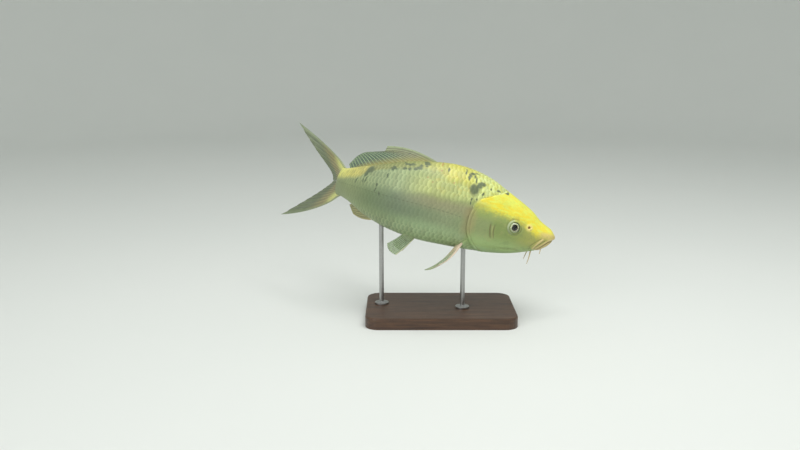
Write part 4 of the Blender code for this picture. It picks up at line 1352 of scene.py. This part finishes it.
FIN_LOOKS = {
    "dorsal fin": {"root": srgb(168, 162, 104), "web": srgb(84, 112, 86), "rays": srgb(172, 190, 150),
                   "leading": srgb(158, 170, 132), "clearness": 0.60, "front": srgb(138, 134, 98)},
    "tail fin": {"root": srgb(228, 230, 142), "web": srgb(148, 140, 98), "rays": srgb(158, 148, 102),
                 "leading": srgb(140, 152, 122), "clearness": 0.70, "root_across": (0.50, 0.12),
                 "tip": srgb(88, 112, 90), "base": srgb(150, 163, 116)},
    "anal fin": {"root": srgb(156, 158, 106), "web": srgb(148, 148, 98), "rays": srgb(174, 168, 118),
                 "leading": srgb(176, 160, 116), "clearness": 0.75},
    "pectoral fins": {"root": srgb(196, 178, 146), "web": srgb(132, 152, 114), "rays": srgb(184, 192, 154),
                      "leading": srgb(232, 206, 188), "clearness": 0.42, "leading_width": 0.34},
    "paired fins": {"root": srgb(146, 162, 116), "web": srgb(126, 148, 108), "rays": srgb(170, 188, 146),
                    "leading": srgb(200, 190, 160), "clearness": 0.5},
}
FIN_MOTTLE = srgb(92, 98, 72)
ROOT_ACROSS = (2.0, 1.0)


def fin_material(name, root, web, rays, leading, clearness, front=None, root_across=ROOT_ACROSS,
                 tip=None, base=None, leading_width=0.09):
    """Thin fin: bony rays, a web whose alpha is the clearness, and a leading ray of its own colour.

    front tints the web's leading part, tip its outer part and base its inner part. The root's colour keeps
    to the ray's side that root_across gives.
    """
    made, tree, shader = new_material(name)
    ray, out, across = (attribute(tree, part) for part in ("ray", "out", "across"))
    mottle = noise(object_place(tree), 260.0)
    if front:
        web = blend(fade(across, 0.42, 0.12), web, front)
    root_reach = (0.52, 0.26) if base else (0.50, 0.10)
    near_root = fade(out, *root_reach) * fade(across, *root_across)
    if base:
        near_base = fade(out, 0.42, 0.10)
        web = blend(near_base, web, base)
    colour = blend(near_root, web, root)
    if base:
        near_root = calc("MAXIMUM", near_root, near_base)
    colour = blend(fade(ray, 0.25, 0.85) * (0.85 - near_root * 0.6), colour, rays)
    if tip:
        colour = blend(fade(out, 0.50, 0.80) * 0.7, colour, tip)
    colour = blend(fade(across, leading_width, 0.0) * 0.8, colour, leading)
    colour = blend(fade(mottle, 0.45, 0.75) * 0.25, colour, FIN_MOTTLE)
    solid = calc("MAXIMUM", fade(ray, 0.15, 0.75), fade(out, 0.35, 0.12))
    solid = calc("MAXIMUM", solid, fade(across, 0.05, 0.02))
    joints = calc("SINE", out * 420.0) * ray
    set_inputs(shader, {
        "Base Color": colour, "Alpha": solid * (0.97 - clearness) + clearness, "Roughness": 0.42,
        "Normal": bump(joints, 0.3, 0.06 * MM), "Coat Weight": 0.1})
    return made


# --- Feelers, eyes and the stand: their looks ---

FEELER_TONES = srgb(206, 192, 150), srgb(176, 152, 114)
IRIS_TONES = srgb(222, 232, 190), srgb(184, 196, 152)
IRIS_STREAK = srgb(140, 140, 108)
IRIS_GOLD = srgb(210, 190, 120)
IRIS_RIM = srgb(84, 88, 62)
PUPIL = srgb(4, 7, 4)
WOOD_TONES = ((0.25, srgb(44, 30, 22)), (0.5, srgb(74, 50, 34)), (0.75, srgb(98, 68, 46)))
WOOD_PORE = srgb(28, 20, 15)
STEEL_TONES = srgb(188, 188, 186), srgb(150, 150, 150)


def feeler_material():
    """Soft pinkish skin of the feelers."""
    made, tree, shader = new_material("feeler skin")
    mottle = noise(object_place(tree), 400.0)
    set_inputs(shader, {
        "Base Color": blend(mottle, *FEELER_TONES), "Normal": bump(mottle, 0.3, 0.1 * MM), "Roughness": 0.42})
    return made


def globe_material():
    """Black pupil, a silvery iris with fine streaks, and a dark rim."""
    made, tree, shader = new_material("eye globe")
    place = attribute(tree, "iris", "Vector")
    x, y = parts(place)[:2]
    away = calc("SQRT", x * x + y * y)
    streaks = calc("SINE", calc("ARCTAN2", y, x) * 70.0)
    iris = blend(noise(place, 9.0, 4.0), *IRIS_TONES)
    iris = blend(fade(streaks, 0.0, 1.0) * 0.14, iris, IRIS_STREAK)
    iris = blend(fade(away, PUPIL_SHARE + 0.10, PUPIL_SHARE + 0.02) * 0.7, iris, IRIS_GOLD)
    iris = blend(fade(away, IRIS_SHARE - 0.08, IRIS_SHARE + 0.04), iris, IRIS_RIM)
    colour = blend(fade(away, PUPIL_SHARE + 0.015, PUPIL_SHARE - 0.015), iris, PUPIL)
    metal = fade(away, PUPIL_SHARE, PUPIL_SHARE + 0.05) * 0.15
    set_inputs(shader, {"Base Color": colour, "Metallic": metal, "Roughness": 0.35})
    return made


def cornea_material():
    made, _, shader = new_material("cornea")
    set_inputs(shader, {
        "Base Color": (1.0, 1.0, 1.0, 1.0), "Roughness": 0.03, "Transmission Weight": 1.0, "IOR": 1.34})
    return made


def wood_material():
    """Dark stained wood: long grain with pores."""
    made, tree, shader = new_material("stained wood")
    place = stretched(object_place(tree), (1.0, 9.0, 14.0))
    bands = noise(place, 26.0, 6.0, 0.65)
    pores = noise(place, 160.0, 3.0, 0.6)
    set_inputs(shader, {
        "Base Color": blend(fade(pores, 0.55, 0.75) * 0.5, ramp(bands, WOOD_TONES), WOOD_PORE),
        "Roughness": pores * 0.2 + 0.34, "Normal": bump(bands + pores, 0.2, 0.15 * MM), "Coat Weight": 0.15})
    return made


def steel_material():
    """Steel rod, brushed round."""
    made, tree, shader = new_material("brushed steel")
    brushed = noise(stretched(object_place(tree), (1.0, 1.0, 40.0)), 120.0, 3.0, 0.6)
    set_inputs(shader, {
        "Base Color": blend(brushed, *STEEL_TONES), "Roughness": brushed * 0.2 + 0.22,
        "Normal": bump(brushed, 0.15, 0.05 * MM), "Metallic": 1.0})
    return made


# --- Stage ---

# The floor's level part, its bend up and its wall, in metres.
FLOOR_FLAT, FLOOR_BEND, FLOOR_WALL = 1.9, 1.0, 1.6
FLOOR_STEPS = 12
FLOOR_TONES = srgb(214, 217, 213), srgb(218, 220, 216)
LIGHT_AIM = (0.0, 0.0, 0.12)
SKY = srgb(226, 230, 228)
CAMERA_ELEVATION = math.radians(12.0)
CAMERA_DISTANCE = 0.88
# How far the camera's aim is from the fish's middle, along X and down the view.
CAMERA_AIM_X = -0.0435
CAMERA_AIM_DOWN = 0.0186


def make_floor():
    """A pale floor that curves up into a wall all round."""
    shape = bmesh.new()
    spots = [(0.0, 0.0), (0.6, 0.0), (FLOOR_FLAT, 0.0)]
    for step in range(1, FLOOR_STEPS + 1):
        turn = step / FLOOR_STEPS * math.pi / 2
        spots.append((FLOOR_FLAT + FLOOR_BEND * math.sin(turn), FLOOR_BEND * (1.0 - math.cos(turn))))
    spots.append((FLOOR_FLAT + FLOOR_BEND, FLOOR_BEND + FLOOR_WALL))
    line = [shape.verts.new((out, 0.0, up)) for out, up in spots]
    for pair in zip(line, line[1:]):
        shape.edges.new(pair)
    floor = bpy.data.objects.new("floor", turned_mesh("floor", shape))
    floor.data.shade_smooth()
    bpy.context.scene.collection.objects.link(floor)
    made, tree, shader = new_material("pale floor")
    paper = noise(object_place(tree), 3.0)
    set_inputs(shader, {"Base Color": blend(paper, *FLOOR_TONES), "Roughness": 0.85})
    floor.data.materials.append(made)


def add_light(name, place, size, power):
    light = bpy.data.lights.new(name, "AREA")
    light.size = size
    light.energy = power
    made = bpy.data.objects.new(name, light)
    made.location = place
    made.rotation_euler = (Vector(LIGHT_AIM) - Vector(place)).to_track_quat("-Z", "Y").to_euler()
    bpy.context.scene.collection.objects.link(made)


def make_lights():
    add_light("key", (0.20, -0.35, 1.15), 0.9, 10.6)
    add_light("fill", (-1.2, -1.6, 0.9), 1.4, 12.3)
    world = bpy.data.worlds.new("studio")
    world.use_nodes = True
    set_inputs(world.node_tree.nodes["Background"], {"Color": SKY, "Strength": 0.85})
    bpy.context.scene.world = world
    bpy.context.scene.view_settings.view_transform = "Standard"


def make_camera():
    """The camera stands level with the fish's right flank, a little above it."""
    up = Vector((0.0, math.sin(CAMERA_ELEVATION), math.cos(CAMERA_ELEVATION)))
    back = Vector((0.0, -math.cos(CAMERA_ELEVATION), math.sin(CAMERA_ELEVATION)))
    data = bpy.data.cameras.new("camera")
    data.sensor_width = 36.0
    data.lens = 37.35
    data.clip_start = 0.01
    camera = bpy.data.objects.new("camera", data)
    aim = Vector((CAMERA_AIM_X, 0.0, FISH_HEIGHT)) - up * CAMERA_AIM_DOWN
    camera.location = aim + back * CAMERA_DISTANCE
    camera.rotation_euler = (-back).to_track_quat("-Z", "Y").to_euler()
    bpy.context.scene.collection.objects.link(camera)
    bpy.context.scene.camera = camera


def dress_stand():
    wood, steel = wood_material(), steel_material()
    for name in ("stand_base", "stand_rod_front", "stand_rod_rear"):
        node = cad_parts[name]
        node.data.materials.clear()
        node.data.materials.append(wood if name == "stand_base" else steel)


make_camera()
make_lights()
make_floor()
MARKINGS = markings_group()
SKIN = skin_material(MARKINGS)
make_skin(SKIN)
make_coat(scale_material(MARKINGS))
make_fins({fin: fin_material(fin, **look) for fin, look in FIN_LOOKS.items()})
GLOBE, CORNEA = globe_material(), cornea_material()
for HAND, SIDE in ((1, "left"), (-1, "right")):
    make_eye(HAND, SIDE, GLOBE, CORNEA)
    make_eye_rim(HAND, SIDE, SKIN)
make_barbels(feeler_material())
dress_stand()
